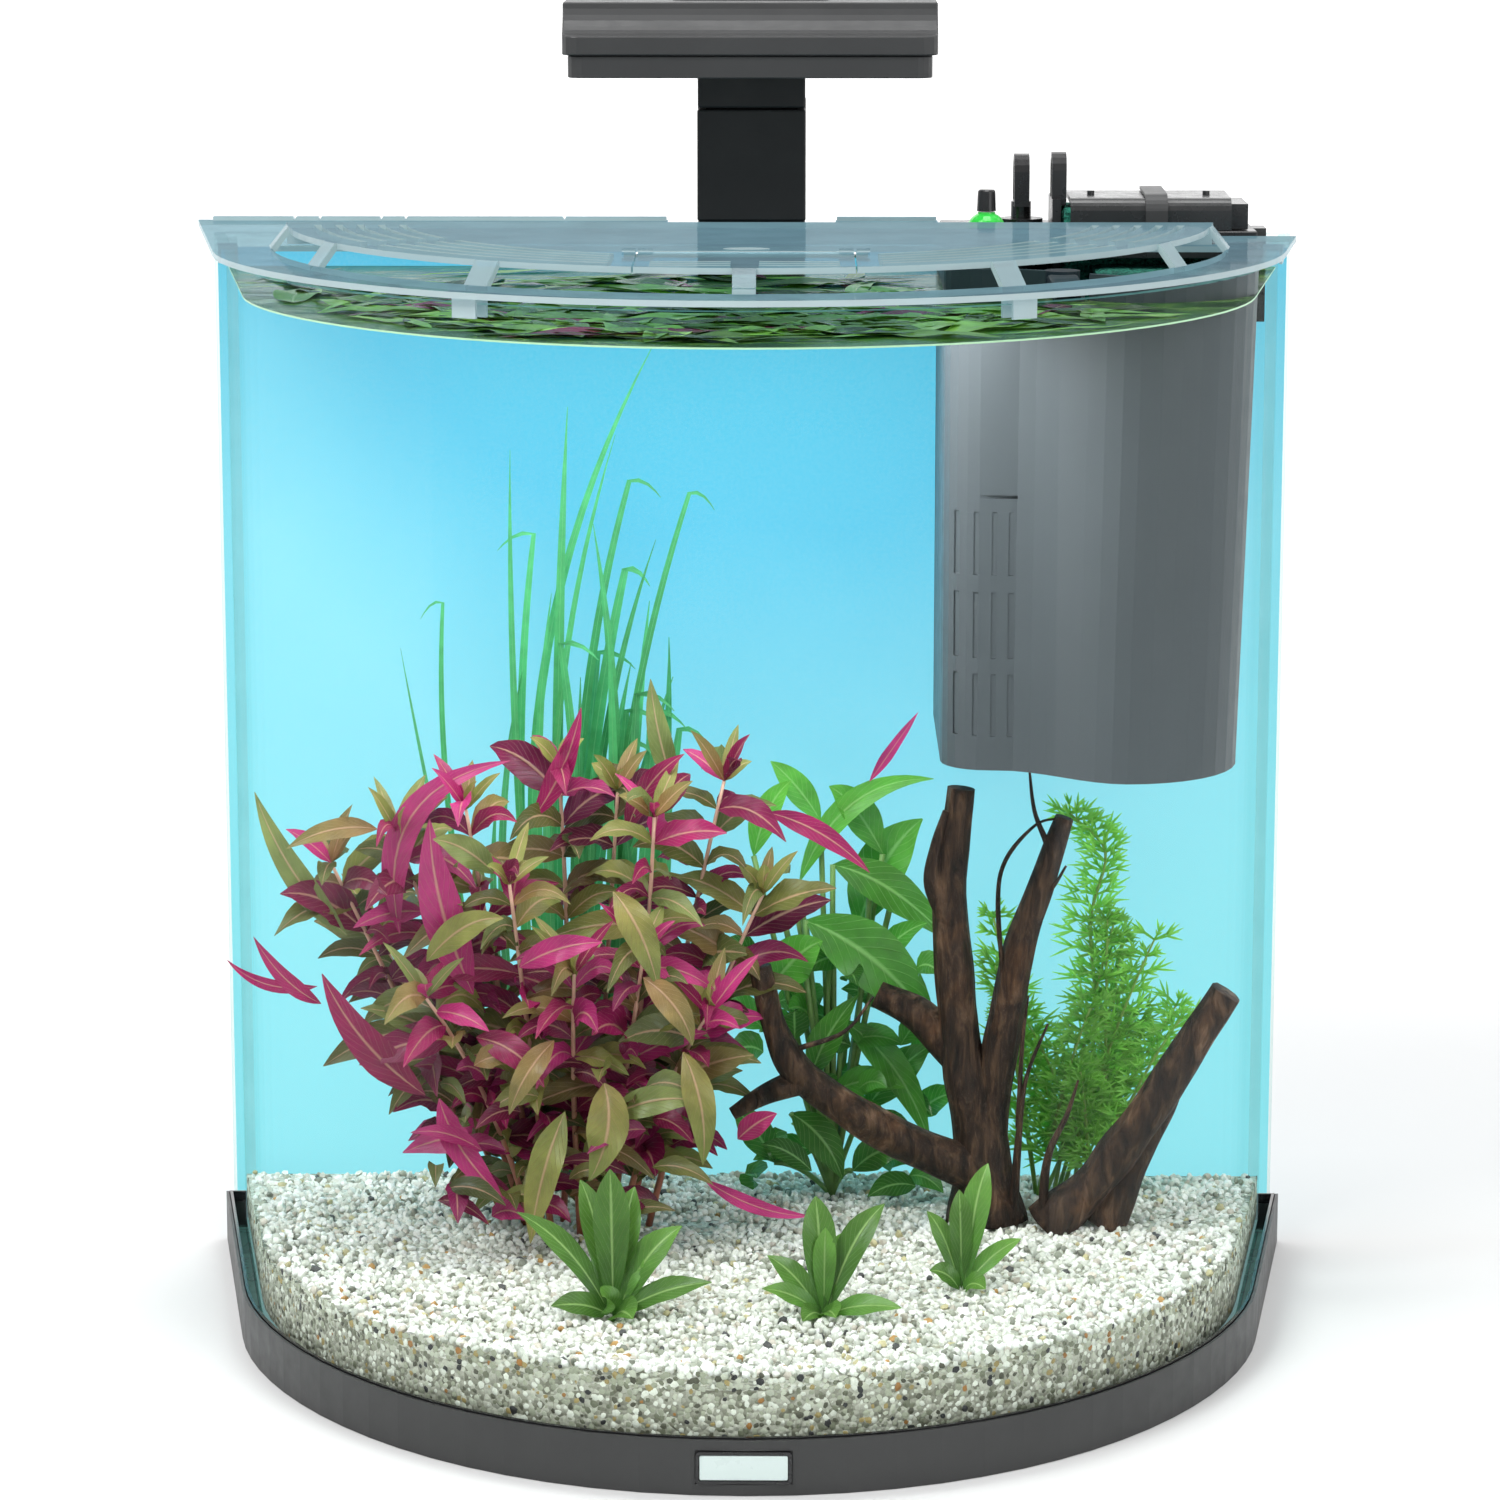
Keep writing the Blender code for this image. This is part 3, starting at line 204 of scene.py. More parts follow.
def glass_look():
    """Near-clear glass with a pale green smear along its top edge."""
    look, pane = clear_pane("glass", (0.975, 0.992, 0.990), (0.30, 0.62, 0.60), 0.012, 0.03)
    rim = look.node("BsdfDiffuse", {"Color": (0.40, 0.72, 0.64)}).outputs[0]
    top = look.remap(look.level(), 0.6, 0.9, 0.0, 0.45)
    return look.done(look.blend(look.times(top, look.clouds(0.7, 1.0, 90)), pane, rim))


def lid_look():
    """Smoky clear moulding whose upright faces are painted pale and opaque: a painted highlight where its
    edges catch the light.
    """
    look, pane = clear_pane("smoky_clear", (0.43, 0.56, 0.575), (0.36, 0.55, 0.66), 0.085, 0.06, 0.20)
    # Upright faces get a pale opaque coat: a painted highlight along the edges and struts.
    edge = look.principled((0.55, 0.66, 0.67), 0.20)
    return look.done(look.blend(look.times(look.upright(), 0.55), pane, edge))


def film_look():
    """Sky-blue printed film, deeper high up in the middle and pale low down and at the sides; its glow is
    painted light.
    """
    look = Look("blue_film")
    x, _, z = look.split(look.place())
    rise = look.remap(z, 0.02, 0.38)
    drift = look.math("ADD", rise, look.remap(look.noise(7, 2), 0.2, 0.8, -0.07, 0.07))
    away = look.math("POWER", look.remap(look.math("ABSOLUTE", x), 0.03, 0.19), 1.4)
    tone = look.math("SUBTRACT", drift, look.times(away, 0.35))
    sky = look.ramp(tone, (0.0, (0.33, 0.89, 1.0)), (0.35, (0.31, 0.83, 0.99)), (0.7, (0.125, 0.61, 0.87)),
                    (1.0, (0.085, 0.56, 0.79)))
    grain = look.mix(look.clouds(0.0, 0.05, 900, 2), sky, WHITE)
    skin = look.bump(look.noise(300, 3), 0.2, 0.00005)
    paint = look.principled(look.mix(FILM_PAINT, BLACK, grain), 0.45, Normal=skin, Specular_IOR_Level=0.2)
    # The film glows in its own colour: painted light standing in for the light on it.
    return look.done(look.lit(paint, grain, FILM_PAINTED_GLOW))


def gravel_look(name, loose):
    """Pale rounded grains; one in some tens is grey, olive or rust. Loose stones carry their own colours."""
    look = Look(name)
    if loose:
        stone = look.attribute("stone_colour")
    else:
        hue = look.split(look.cells(480, "Color"))[0]
        stone = look.ramp(hue, (0.0, (0.33, 0.33, 0.28)), (0.3, (0.66, 0.66, 0.58)),
                          (0.6, (0.75, 0.75, 0.68)), (0.85, (0.42, 0.41, 0.31)), (1.0, (0.20, 0.19, 0.14)))
        # Upright faces take darker stones: painted shade down the bed's sides.
        stone = look.mix(look.upright(), stone, look.mix(hue, (0.16, 0.16, 0.11), (0.55, 0.55, 0.46)))
    speck = look.times(look.remap(look.noise(1500, 3, 0.6), 0.35, 0.7), 0.22)
    colour = look.mix(speck, stone, (0.30, 0.31, 0.25), "MULTIPLY")
    skin = look.bump(look.noise(1800, 3), 0.5, 0.0002)
    if not loose:
        skin = look.bump(look.cells(480), 1.0, -0.0009, skin)
    return look.done(look.principled(colour, 0.55, Normal=skin))


def wood_look():
    """Wet driftwood: dark furrows along the grain, part own colour, part painted shade; brown where the bark
    has gone.
    """
    look = Look("driftwood")
    along = look.place((1, 1, 0.22))
    furrow = look.noise(240, 6, 0.65, 0.6, along)
    patch = look.noise(26, 4, 0.6, 0.4)
    # The colour follows the furrows' depth, darkest in them: partly the wood's own colour, partly painted
    # shade.
    bark = look.ramp(furrow, (0.34, (0.006, 0.004, 0.003)), (0.50, (0.030, 0.016, 0.010)),
                     (0.70, (0.11, 0.060, 0.034)))
    bare = look.ramp(furrow, (0.32, (0.030, 0.013, 0.006)), (0.52, (0.13, 0.060, 0.028)),
                     (0.74, (0.36, 0.22, 0.14)))
    colour = look.mix(look.remap(patch, 0.48, 0.62), bark, bare)
    depth = look.bump(furrow, 1.0, 0.0030)
    depth = look.bump(look.noise(900, 3), 0.3, 0.0003, depth)
    gloss = look.remap(furrow, 0.3, 0.7, 0.66, 0.50)
    return look.done(look.principled(colour, gloss, Normal=depth, Specular_IOR_Level=0.3))


def leaf_look(name, veins, vein_strength, gloss, glow, midrib):
    """A living leaf: its own colour, a pale midrib, slanting side veins, and light that comes through."""
    look = Look(name)
    u, v, _ = look.split(look.uv())
    across = look.math("ABSOLUTE", look.math("SUBTRACT", u, 0.5))
    slant = look.math("SUBTRACT", look.times(v, veins), look.times(across, veins * 0.55))
    side = look.math("ABSOLUTE", look.math("SUBTRACT", look.math("FRACT", slant), 0.5))
    side_vein = look.remap(side, 0.07, 0.0)
    rib = look.remap(across, 0.055, 0.015)
    blotch = look.clouds(0.82, 1.15, 130, 3, 0.6)
    grey = look.node("CombineXYZ", {0: blotch, 1: blotch, 2: blotch}).outputs[0]
    own = look.attribute("leaf_colour")
    body = look.node("VectorMath", {0: own, 1: grey}, operation="MULTIPLY").outputs[0]
    veined = look.mix(look.times(side_vein, vein_strength), body, midrib)
    colour = look.mix(look.times(rib, 0.6), veined, midrib)
    relief = look.bump(look.math("MAXIMUM", side_vein, rib), 0.5, 0.0005)
    through = look.node("BsdfTranslucent", {"Color": colour}).outputs[0]
    return look.done(look.blend(glow, look.principled(colour, gloss, Normal=relief), through))


def foam_look():
    look = Look("green_foam")
    pores = look.cells(900)
    # Darkest at each pore's middle, where the bump sinks: painted shade in the pores.
    colour = look.ramp(pores, (0.0, (0.0, 0.035, 0.025)), (0.5, (0.008, 0.16, 0.11)),
                       (1.0, (0.03, 0.30, 0.20)))
    return look.done(look.principled(colour, 0.9, Normal=look.bump(pores, 1.0, 0.0008)))


def water_look():
    """The water's surface: wavering green streaks, a painted reflection of the plants below, under a thin
    gloss.
    """
    look = Look("water_surface")
    wander = look.place((1.0, 1.7, 1.0), (0, 0, 0.12))
    streak = look.noise(24, 4, 0.6, 1.9, wander)
    # The streaks are a painted reflection of the plants below the surface.
    leaves = look.ramp(streak, (0.30, (0.006, 0.020, 0.004)), (0.42, (0.020, 0.085, 0.012)),
                       (0.50, (0.09, 0.24, 0.035)), (0.56, (0.30, 0.44, 0.09)), (0.62, (0.04, 0.14, 0.02)),
                       (0.72, (0.40, 0.46, 0.16)))
    colour = look.mix(look.remap(look.noise(9, 2), 0.35, 0.65, 0.0, 0.55), leaves, (0.035, 0.14, 0.026))
    ripple = look.bump(look.noise(22, 3, 0.5, 0.6, look.place((1, 2.2, 1))), 0.35, 0.004)
    skin = look.principled(colour, 0.22, Normal=ripple, Specular_IOR_Level=0.15)
    gap = look.remap(look.noise(16, 3, 0.5, 1.0, wander), 0.52, 0.66, 0.04, 0.40)
    level = look.blend(gap, skin, look.clear((0.70, 0.90, 0.84)))
    # Its upright faces, along the water line, are painted pale green: a painted highlight.
    line = look.principled((0.46, 0.70, 0.44), 0.3)
    return look.done(look.blend(look.upright(), level, line))


def steel_look():
    look = Look("pin_steel")
    brushed = look.noise(900, 3, 0.6, 0, look.place((0.05, 1, 1)))
    gloss = look.remap(brushed, 0.3, 0.7, 0.22, 0.40)
    skin = look.bump(brushed, 0.3, 0.00003)
    return look.done(look.principled((0.60, 0.60, 0.62), gloss, Metallic=1.0, Normal=skin))


def diffuser_look():
    """Clear plastic with fine ridges."""
    look = Look("prismatic_diffuser")
    ridges = look.math("SINE", look.times(look.split(look.place())[1], 2400))
    skin = look.bump(ridges, 0.4, 0.0004)
    return look.done(look.principled((0.86, 0.90, 0.90), 0.25, Normal=skin, Alpha=0.72))


def board_look():
    """A white printed board with copper-edged yellow diodes."""
    look = Look("led_board")
    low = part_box("led_board")[0].z
    diode = look.remap(look.split(look.place())[2], low + 0.0004, low + 0.0003)
    tracks = look.cells(220, "Distance", "DISTANCE_TO_EDGE")
    board = look.mix(look.remap(tracks, 0.03, 0.0, 0.0, 0.35), (0.80, 0.82, 0.80), (0.35, 0.42, 0.36))
    colour = look.mix(diode, board, (0.90, 0.72, 0.16))
    return look.done(look.principled(colour, 0.4, Normal=look.bump(tracks, 0.3, 0.0001)))


# The moulded parts' looks: colour, roughness, fineness and depth of the grain, then, where they aren't as
# usual, the spread of the colour and the mirror; and the nodes that wear it.
MOULDED = [
    ("charcoal_skirt", ((0.026, 0.027, 0.027), 0.45, 1700, 0.00005), "base_skirt"),
    ("charcoal_lamp", ((0.026, 0.027, 0.028), 0.46, 1500, 0.00005), "lamp_housing lamp_tray cover_clip"),
    ("black_rim", ((0.006, 0.006, 0.007), 0.16, 900, 0.00001), "base_seal"),
    ("black_arm", ((0.0045, 0.0045, 0.005), 0.50, 1700, 0.00005),
     "lamp_column lamp_neck lamp_clamp lamp_cap cable_gland clamp_screw"),
    ("black_plastic", ((0.012, 0.012, 0.013), 0.28, 1300, 0.00003),
     "filter_deck filter_hook heater_knob coarse_cartridge bio_frame pump_body impeller badge_frame"),
    ("grey_filter", ((0.062, 0.073, 0.082), 0.42, 1500, 0.00001, 0.05, 0.28), "filter_box outlet_nozzle"),
    ("dark_cover", ((0.016, 0.017, 0.018), 0.26, 1300, 0.00002), "cartridge_cover"),
    ("rubber", ((0.018, 0.018, 0.018), 0.75, 700, 0.0001),
     "clamp_pad foot_back_left foot_back_right foot_front_left foot_front_right"),
    ("pale_badge", ((0.58, 0.68, 0.66), 0.30, 900, 0.00002, 0.03), "badge_face"),
    ("green_collar", ((0.03, 0.56, 0.06), 0.22, 900, 0.00002, 0.08), "heater_collar"),
    ("ceramic", ((0.80, 0.80, 0.77), 0.22, 900, 0.00001, 0.03), "impeller_shaft"),
]


def assign(material, nodes):
    for name in nodes.split():
        NODES[name].data.materials.clear()
        NODES[name].data.materials.append(material)


def dress_cad():
    for name, numbers, nodes in MOULDED:
        assign(moulded(name, *numbers), nodes)
    fit_louvres(NODES["filter_box"].data.materials[0])
    assign(glass_look(), "front_glass back_glass bottom_glass heater_tube")
    assign(lid_look(), "lid_cover feed_flap lid_clip_front_left lid_clip_front_right lid_clip_side_left "
                       "lid_clip_side_right")
    look, pane = clear_pane("silicone", (0.86, 0.92, 0.91), (0.60, 0.80, 0.84), 0.05, 0.35, 0.10)
    assign(look.done(pane), "seam_floor seam_left seam_right")
    assign(film_look(), "backdrop_film")
    assign(gravel_look("gravel_slab", False), "gravel_bed")
    assign(steel_look(), "flap_hinge_pin lamp_hinge_pin")
    assign(diffuser_look(), "lamp_diffuser")
    assign(board_look(), "led_board")


# ---------------------------------------------------------------- mesh tools

def put(name, data):
    obj = bpy.data.objects.new(name, data)
    bpy.context.scene.collection.objects.link(obj)
    return obj


def piece(name, mesh, material, smooth=True):
    """A visible piece on a body."""
    obj = put(name, mesh)
    dress(obj, material, smooth=smooth)
    return obj


def dress(obj, material, body="tank", smooth=True):
    obj.data.materials.clear()
    obj.data.materials.append(material)
    if smooth:
        obj.data.shade_smooth()
    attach(obj, body)


def mesh_of(name, points, faces):
    mesh = bpy.data.meshes.new(name)
    mesh.from_pydata(points, [], faces)
    return mesh


def apply_modifiers(obj):
    bpy.context.view_layer.update()
    mesh = bpy.data.meshes.new_from_object(obj.evaluated_get(bpy.context.evaluated_depsgraph_get()))
    obj.modifiers.clear()
    obj.data = mesh


def tint(mesh, attribute, colours):
    """Gives every point of a mesh its own colour."""
    tints = np.ones((len(mesh.vertices), 4), np.float32)
    tints[:, :3] = np.clip(colours, 0, 1)
    mesh.attributes.new(attribute, "FLOAT_COLOR", "POINT").data.foreach_set("color", tints.ravel())


def prism(name, loop, low, high):
    """An upright block on a flat outline."""
    count = len(loop)
    faces = [tuple(range(count))[::-1], tuple(range(count, 2 * count))]
    faces += [(i, (i + 1) % count, count + (i + 1) % count, count + i) for i in range(count)]
    mesh = mesh_of(name, [(x, y, z) for z in (low, high) for x, y in loop], faces)
    shape = bmesh.new()
    shape.from_mesh(mesh)
    bmesh.ops.recalc_face_normals(shape, faces=shape.faces)
    shape.to_mesh(mesh)
    shape.free()
    return put(name, mesh)


def middle_of(points):
    return sum(p[0] for p in points) / len(points), sum(p[1] for p in points) / len(points)


def outline_of(node, low=-math.inf):
    """A node's outline in plan, as points round its middle; only points above the height low count."""
    points = {(round(v.co.x, 5), round(v.co.y, 5)) for v in NODES[node].data.vertices if v.co.z > low}
    cx, cy = middle_of(points)
    return sorted(points, key=lambda p: math.atan2(p[1] - cy, p[0] - cx))


def hull(points):
    """The convex outline of points in plan, counterclockwise."""
    points = sorted(set(points))

    def chain(sequence):
        made = []
        for p in sequence:
            while len(made) > 1 and ((made[-1][0] - made[-2][0]) * (p[1] - made[-2][1])
                                     - (made[-1][1] - made[-2][1]) * (p[0] - made[-2][0])) <= 0:
                made.pop()
            made.append(p)
        return made[:-1]

    return chain(points) + chain(points[::-1])


BED = hull(outline_of("gravel_bed"))
BED_EDGES = [(Vector(a), Vector(b)) for a, b in zip(BED, BED[1:] + BED[:1])]
BED_STARTS = np.array([a[:] for a, _ in BED_EDGES])
BED_ALONG = np.array([(b - a).normalized()[:] for a, b in BED_EDGES])


def room(x, y):
    """How far a point is inside the tank's inner outline."""
    dx, dy = x - BED_STARTS[:, 0], y - BED_STARTS[:, 1]
    return float(np.min(BED_ALONG[:, 0] * dy - BED_ALONG[:, 1] * dx))


def bed_height(x, y):
    """The gravel's surface, with the low heaps and hollows of a bed that has been pushed about."""
    swell = 0.0012 * noise.noise(Vector((x * 22, y * 22, 3.1)))
    swell += 0.0006 * noise.noise(Vector((x * 60, y * 60, 7.7)))
    if y < 0.05:
        swell += 0.0045 * math.exp(-(room(x, y) / 0.016) ** 2)
    return BED_PLANE[0] + BED_PLANE[1] * y + swell


def fit_bed():
    tops = [v.co for v in NODES["gravel_bed"].data.vertices if v.co.z > 0.022]
    ys = np.array([v.y for v in tops])
    zs = np.array([v.z for v in tops])
    slope, start = np.polyfit(ys, zs, 1)
    return start, slope


BED_PLANE = fit_bed()


def fit_louvres(look):
    """A slat sunk into each of the filter box's intake slots."""
    low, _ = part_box("filter_box")
    tree = BVHTree.FromObject(NODES["filter_box"], bpy.context.evaluated_depsgraph_get())
    quads = [(0, 1, 3, 2), (4, 6, 7, 5), (0, 2, 6, 4), (2, 3, 7, 6), (3, 1, 5, 7), (1, 0, 4, 5)]
    inward = Vector((0, 1, 0))
    points, faces = [], []
    for start, end in INTAKE_ROWS:
        z = low.z + (start + end) / 2
        for offset in INTAKE_SLOTS:
            x = low.x + offset
            skin = [tree.ray_cast(Vector((x + side * SLOT_HALF, -1, z)), inward)[0].y for side in (-1, 1)]
            faces += [tuple(len(points) + i for i in quad) for quad in quads]
            for height in (low.z + start + SLOT_GAP, low.z + end - SLOT_GAP):
                for side, y in zip((-1, 1), skin):
                    edge = x + side * LOUVRE_HALF
                    points += [(edge, y + LOUVRE_SINK, height), (edge, y + LOUVRE_REACH, height)]
    piece("intake_louvres", mesh_of("intake_louvres", points, faces), look, smooth=False)


def cut_foam(node, name, body, look):
    """Open-celled foam in the shape of a plain node: a fine skin, pitted all over."""
    block = put(name, NODES[node].data.copy())
    remesh = block.modifiers.new("cells", "REMESH")
    remesh.mode = "VOXEL"
    remesh.voxel_size = 0.0015
    apply_modifiers(block)
    vertices = block.data.vertices
    normals = [vertex.normal.copy() for vertex in vertices]
    for vertex, normal in zip(vertices, normals):
        nearest = noise.voronoi(vertex.co * 420)[0][0]
        vertex.co -= normal * 0.0011 * max(0, 0.75 - nearest)
    dress(block, look, body)
    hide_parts(node)


def cut_foams():
    look = foam_look()
    cut_foam("bio_foam", "bio_foam_block", "bio_filter", look)
    cut_foam("prefilter_foam", "prefilter_block", "tank", look)


# ---------------------------------------------------------------- gravel

# Colours of stones, each with its share of the bed.
STONES = [
    ((0.90, 0.90, 0.85), 36), ((0.80, 0.81, 0.74), 26), ((0.96, 0.96, 0.93), 20), ((0.60, 0.62, 0.55), 11),
    ((0.40, 0.42, 0.34), 6), ((0.26, 0.27, 0.22), 3), ((0.58, 0.52, 0.30), 2.4), ((0.52, 0.30, 0.10), 0.9),
    ((0.09, 0.09, 0.09), 1.2), ((0.66, 0.60, 0.52), 5),
]
# A darker palette of the bed's stones for its sides behind the glass: painted shade.
SHADED_STONES = [
    ((0.52, 0.54, 0.43), 24), ((0.36, 0.38, 0.28), 22), ((0.76, 0.78, 0.68), 24), ((0.17, 0.18, 0.12), 14),
    ((0.09, 0.09, 0.06), 7), ((0.36, 0.28, 0.11), 5), ((0.34, 0.16, 0.04), 1.5), ((0.03, 0.03, 0.03), 4),
]


def stones(name, centres, sizes, squash, palette, seed):
    """Angular little stones at the centres; squash is each one's (axis, share) to flatten it by, or None."""
    rng = np.random.default_rng(seed)
    shape = bmesh.new()
    bmesh.ops.create_icosphere(shape, subdivisions=1, radius=1)
    ball = np.array([v.co[:] for v in shape.verts])
    ball /= np.linalg.norm(ball, axis=1)[:, None]
    faces = np.array([[v.index for v in f.verts] for f in shape.faces])
    shape.free()
    count = len(centres)
    lumpy = 1 + rng.uniform(-0.22, 0.16, (count, len(ball), 1))
    flat = rng.uniform(0.62, 1.0, (count, 1, 3))
    points = ball[None] * lumpy * flat
    q = rng.normal(size=(count, 4))
    q /= np.linalg.norm(q, axis=1)[:, None]
    w, x, y, z = q.T
    turn = np.stack([1 - 2 * (y * y + z * z), 2 * (x * y - w * z), 2 * (x * z + w * y),
                     2 * (x * y + w * z), 1 - 2 * (x * x + z * z), 2 * (y * z - w * x),
                     2 * (x * z - w * y), 2 * (y * z + w * x), 1 - 2 * (x * x + y * y)], 1).reshape(-1, 3, 3)
    points = np.einsum("nij,nvj->nvi", turn, points) * np.asarray(sizes)[:, None, None]
    if squash is not None:
        axes, share = squash
        along = np.einsum("nvi,ni->nv", points, axes)
        points -= (along * (1 - share))[:, :, None] * axes[:, None, :]
    points += np.asarray(centres)[:, None, :]
    offsets = (np.arange(count) * len(ball))[:, None, None]
    all_faces = (faces[None] + offsets).reshape(-1, 3)
    odds = np.array([share for _, share in palette], float)
    chosen = np.array([colour for colour, _ in palette])[rng.choice(len(palette), count, p=odds / odds.sum())]
    chosen = chosen * rng.uniform(0.86, 1.08, (count, 1))
    mesh = mesh_of(name, points.reshape(-1, 3).tolist(), all_faces.tolist())
    tint(mesh, "stone_colour", np.repeat(chosen, len(ball), axis=0))
    piece(name, mesh, GRAVEL)
    mesh.set_sharp_from_angle(angle=math.radians(50))


def lay_gravel():
    rng = random.Random(11)
    scatter_grains(rng)
    line_the_glass(rng)


def scatter_grains(rng):
    """Stones over the top of the bed, in shaken rows."""
    low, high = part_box("gravel_bed")
    step, shake = 0.0031, 0.33
    centres, sizes = [], []
    row, y = 0, low.y
    while y < high.y:
        x = low.x + (row % 2) * step / 2
        while x < high.x:
            px = x + rng.uniform(-1, 1) * step * shake
            py = y + rng.uniform(-1, 1) * step * shake
            size = rng.uniform(0.0013, 0.0022)
            if room(px, py) > size * 0.85:
                centres.append((px, py, bed_height(px, py) + rng.uniform(-0.0002, 0.0011)))
                sizes.append(size)
            x += step
        y += step * 0.866
        row += 1
    stones("gravel_grains", centres, sizes, None, STONES, 5)
def line_the_glass(rng):
    """Flattened stones up the bed's upright faces, behind the glass, darkened by painted shade; the back
    isn't seen.
    """
    centres, sizes, axes = [], [], []
    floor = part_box("gravel_bed")[0].z + 0.0012
    for a, b in BED_EDGES:
        length = (b - a).length
        along = (b - a).normalized()
        out = Vector((along.y, -along.x))
        if out.y > 0.99:
            continue
        steps = max(1, round(length / 0.0023))
        for i in range(steps):
            spot = a + along * (length * (i + 0.5) / steps)
            z = floor + rng.uniform(0, 0.001)
            while z < bed_height(spot.x, spot.y) + 0.0006:
                size = rng.uniform(0.0010, 0.0019)
                inward = spot - out * 0.00012 + along * rng.uniform(-0.0007, 0.0007)
                centres.append((inward.x, inward.y, z))
                sizes.append(size)
                axes.append((out.x, out.y, 0))
                z += rng.uniform(0.0017, 0.0024)
    stones("gravel_at_the_glass", centres, sizes, (np.array(axes), 0.22), SHADED_STONES, 6)


# ---------------------------------------------------------------- foliage

def direction(line, i):
    """The way a line runs at its point i."""
    return (line[min(len(line) - 1, i + 1)] - line[max(0, i - 1)]).normalized()


def fade(colours, share):
    """The colour at a share of the way from one to the other."""
    return [a + (b - a) * share for a, b in zip(*colours)]


def shaded(colours, shade):
    return [tuple(c * shade for c in colour) for colour in colours]


class Foliage:
    """Leaves and stems in one mesh, with a colour for each point and a UV across and along each leaf."""

    def __init__(self, seed):
        self.points, self.faces, self.uvs, self.colours = [], [], [], []
        self.rng = random.Random(seed)

    def strip(self, line, widths, facing, colours, fold, ripple, across=4):
        """A leaf along a line: facing is roughly where its upper side looks, colours go from base to tip."""
        start = len(self.points)
        phase = self.rng.uniform(0, 6)
        last = len(line) - 1
        for i, here in enumerate(line):
            tangent = direction(line, i)
            side = tangent.cross(facing)
            if side.length < 1e-4:
                side = tangent.cross(Vector((1, 0, 0)))
            side.normalize()
            up = side.cross(tangent).normalized()
            share = i / last
            tone = fade(colours, share)
            for j in range(across + 1):
                u = 2 * j / across - 1
                lift = fold * abs(u) * widths[i]
                lift += ripple * widths[i] * math.sin(phase + share * 14 + u * 1.2) * abs(u)
                self.points.append(here + side * (u * widths[i] / 2) + up * lift)
                self.colours.append(tone)
        for i in range(last):
            for j in range(across):
                a = start + i * (across + 1) + j
                self.faces.append((a, a + 1, a + across + 2, a + across + 1))
                (v0, v1), (u0, u1) = (i / last, (i + 1) / last), (j / across, (j + 1) / across)
                self.uvs += [(u0, v0), (u1, v0), (u1, v1), (u0, v1)]

    def leaf(self, base, tip, bow, steps, width, facing, colours, fold, ripple, across=4, belly=0.38):
        """A lance leaf from base to tip, bowed out by the vector bow."""
        line = arc(base, tip, bow, steps)
        self.strip(line, lance(steps + 1, width, belly), facing, colours, fold, ripple, across)

    def stem(self, line, radii, colours, sides=5):
        start = len(self.points)
        for i, here in enumerate(line):
            tangent = direction(line, i)
            side = tangent.cross(Vector((0.13, 1, 0.07))).normalized()
            other = tangent.cross(side)
            tone = fade(colours, i / (len(line) - 1))
            for j in range(sides):
                angle = math.tau * j / sides
                self.points.append(here + (side * math.cos(angle) + other * math.sin(angle)) * radii[i])
                self.colours.append(tone)
        self.tube(start, len(line), sides, (0.2, 0.1))

    def tube(self, start, rings, sides, uv):
        """Faces round and across the ends of rings of points."""
        for i in range(rings - 1):
            for j in range(sides):
                a, b = start + i * sides + j, start + i * sides + (j + 1) % sides
                self.faces.append((a, b, b + sides, a + sides))
        for ring in (0, rings - 1):
            loop = [start + ring * sides + j for j in range(sides)]
            self.faces.append(tuple(loop if ring else loop[::-1]))
        self.uvs += [uv] * (4 * sides * (rings - 1) + 2 * sides)

    def build(self, name, material, slot, *nodes):
        mesh = mesh_of(name, [tuple(p) for p in self.points], self.faces)
        mesh.uv_layers.new(name="leaf").data.foreach_set("uv", np.array(self.uvs, np.float32).ravel())
        tint(mesh, "leaf_colour", np.array(self.colours))
        obj = piece(name, mesh, material)
        if nodes:
            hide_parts(*nodes)


def curve(base, middle, tip, steps):
    """Points on a curve from base to tip, drawn towards middle."""
    shares = [i / steps for i in range(steps + 1)]
    return [(1 - t) ** 2 * base + 2 * t * (1 - t) * middle + t * t * tip for t in shares]


def arc(base, tip, bow, steps):
    """Points on a curve from base to tip that bows out by the vector bow."""
    return curve(base, (base + tip) / 2 + bow, tip, steps)


def spline(points, steps):
    """A smooth line through the points."""
    padded = [points[0] * 2 - points[1]] + list(points) + [points[-1] * 2 - points[-2]]
    line = []
    for a, b, c, d in zip(padded, padded[1:], padded[2:], padded[3:]):
        for i in range(steps):
            t = i / steps
            line.append(0.5 * (2 * b + (c - a) * t + (2 * a - 5 * b + 4 * c - d) * t * t
                               + (3 * b - a - 3 * c + d) * t ** 3))
    return line + [points[-1]]


def lance(count, width, belly):
    """Widths of a lance-shaped leaf that is widest at the share belly of its length."""
    sizes = []
    for i in range(count):
        v = i / (count - 1)
        rise = min(1, v / belly)
        fall = min(1, (1 - v) / (1 - belly))
        swell = math.sin(rise * math.pi / 2) ** 0.8 * math.sin(fall * math.pi / 2) ** 0.9
        sizes.append(max(width * 0.03, width * swell))
    return sizes


def strap(count, width):
    """Widths of a ribbon leaf."""
    return [width * min(1, 0.5 + i / count * 4) * max(0.06, 1 - (i / (count - 1)) ** 5) for i in range(count)]


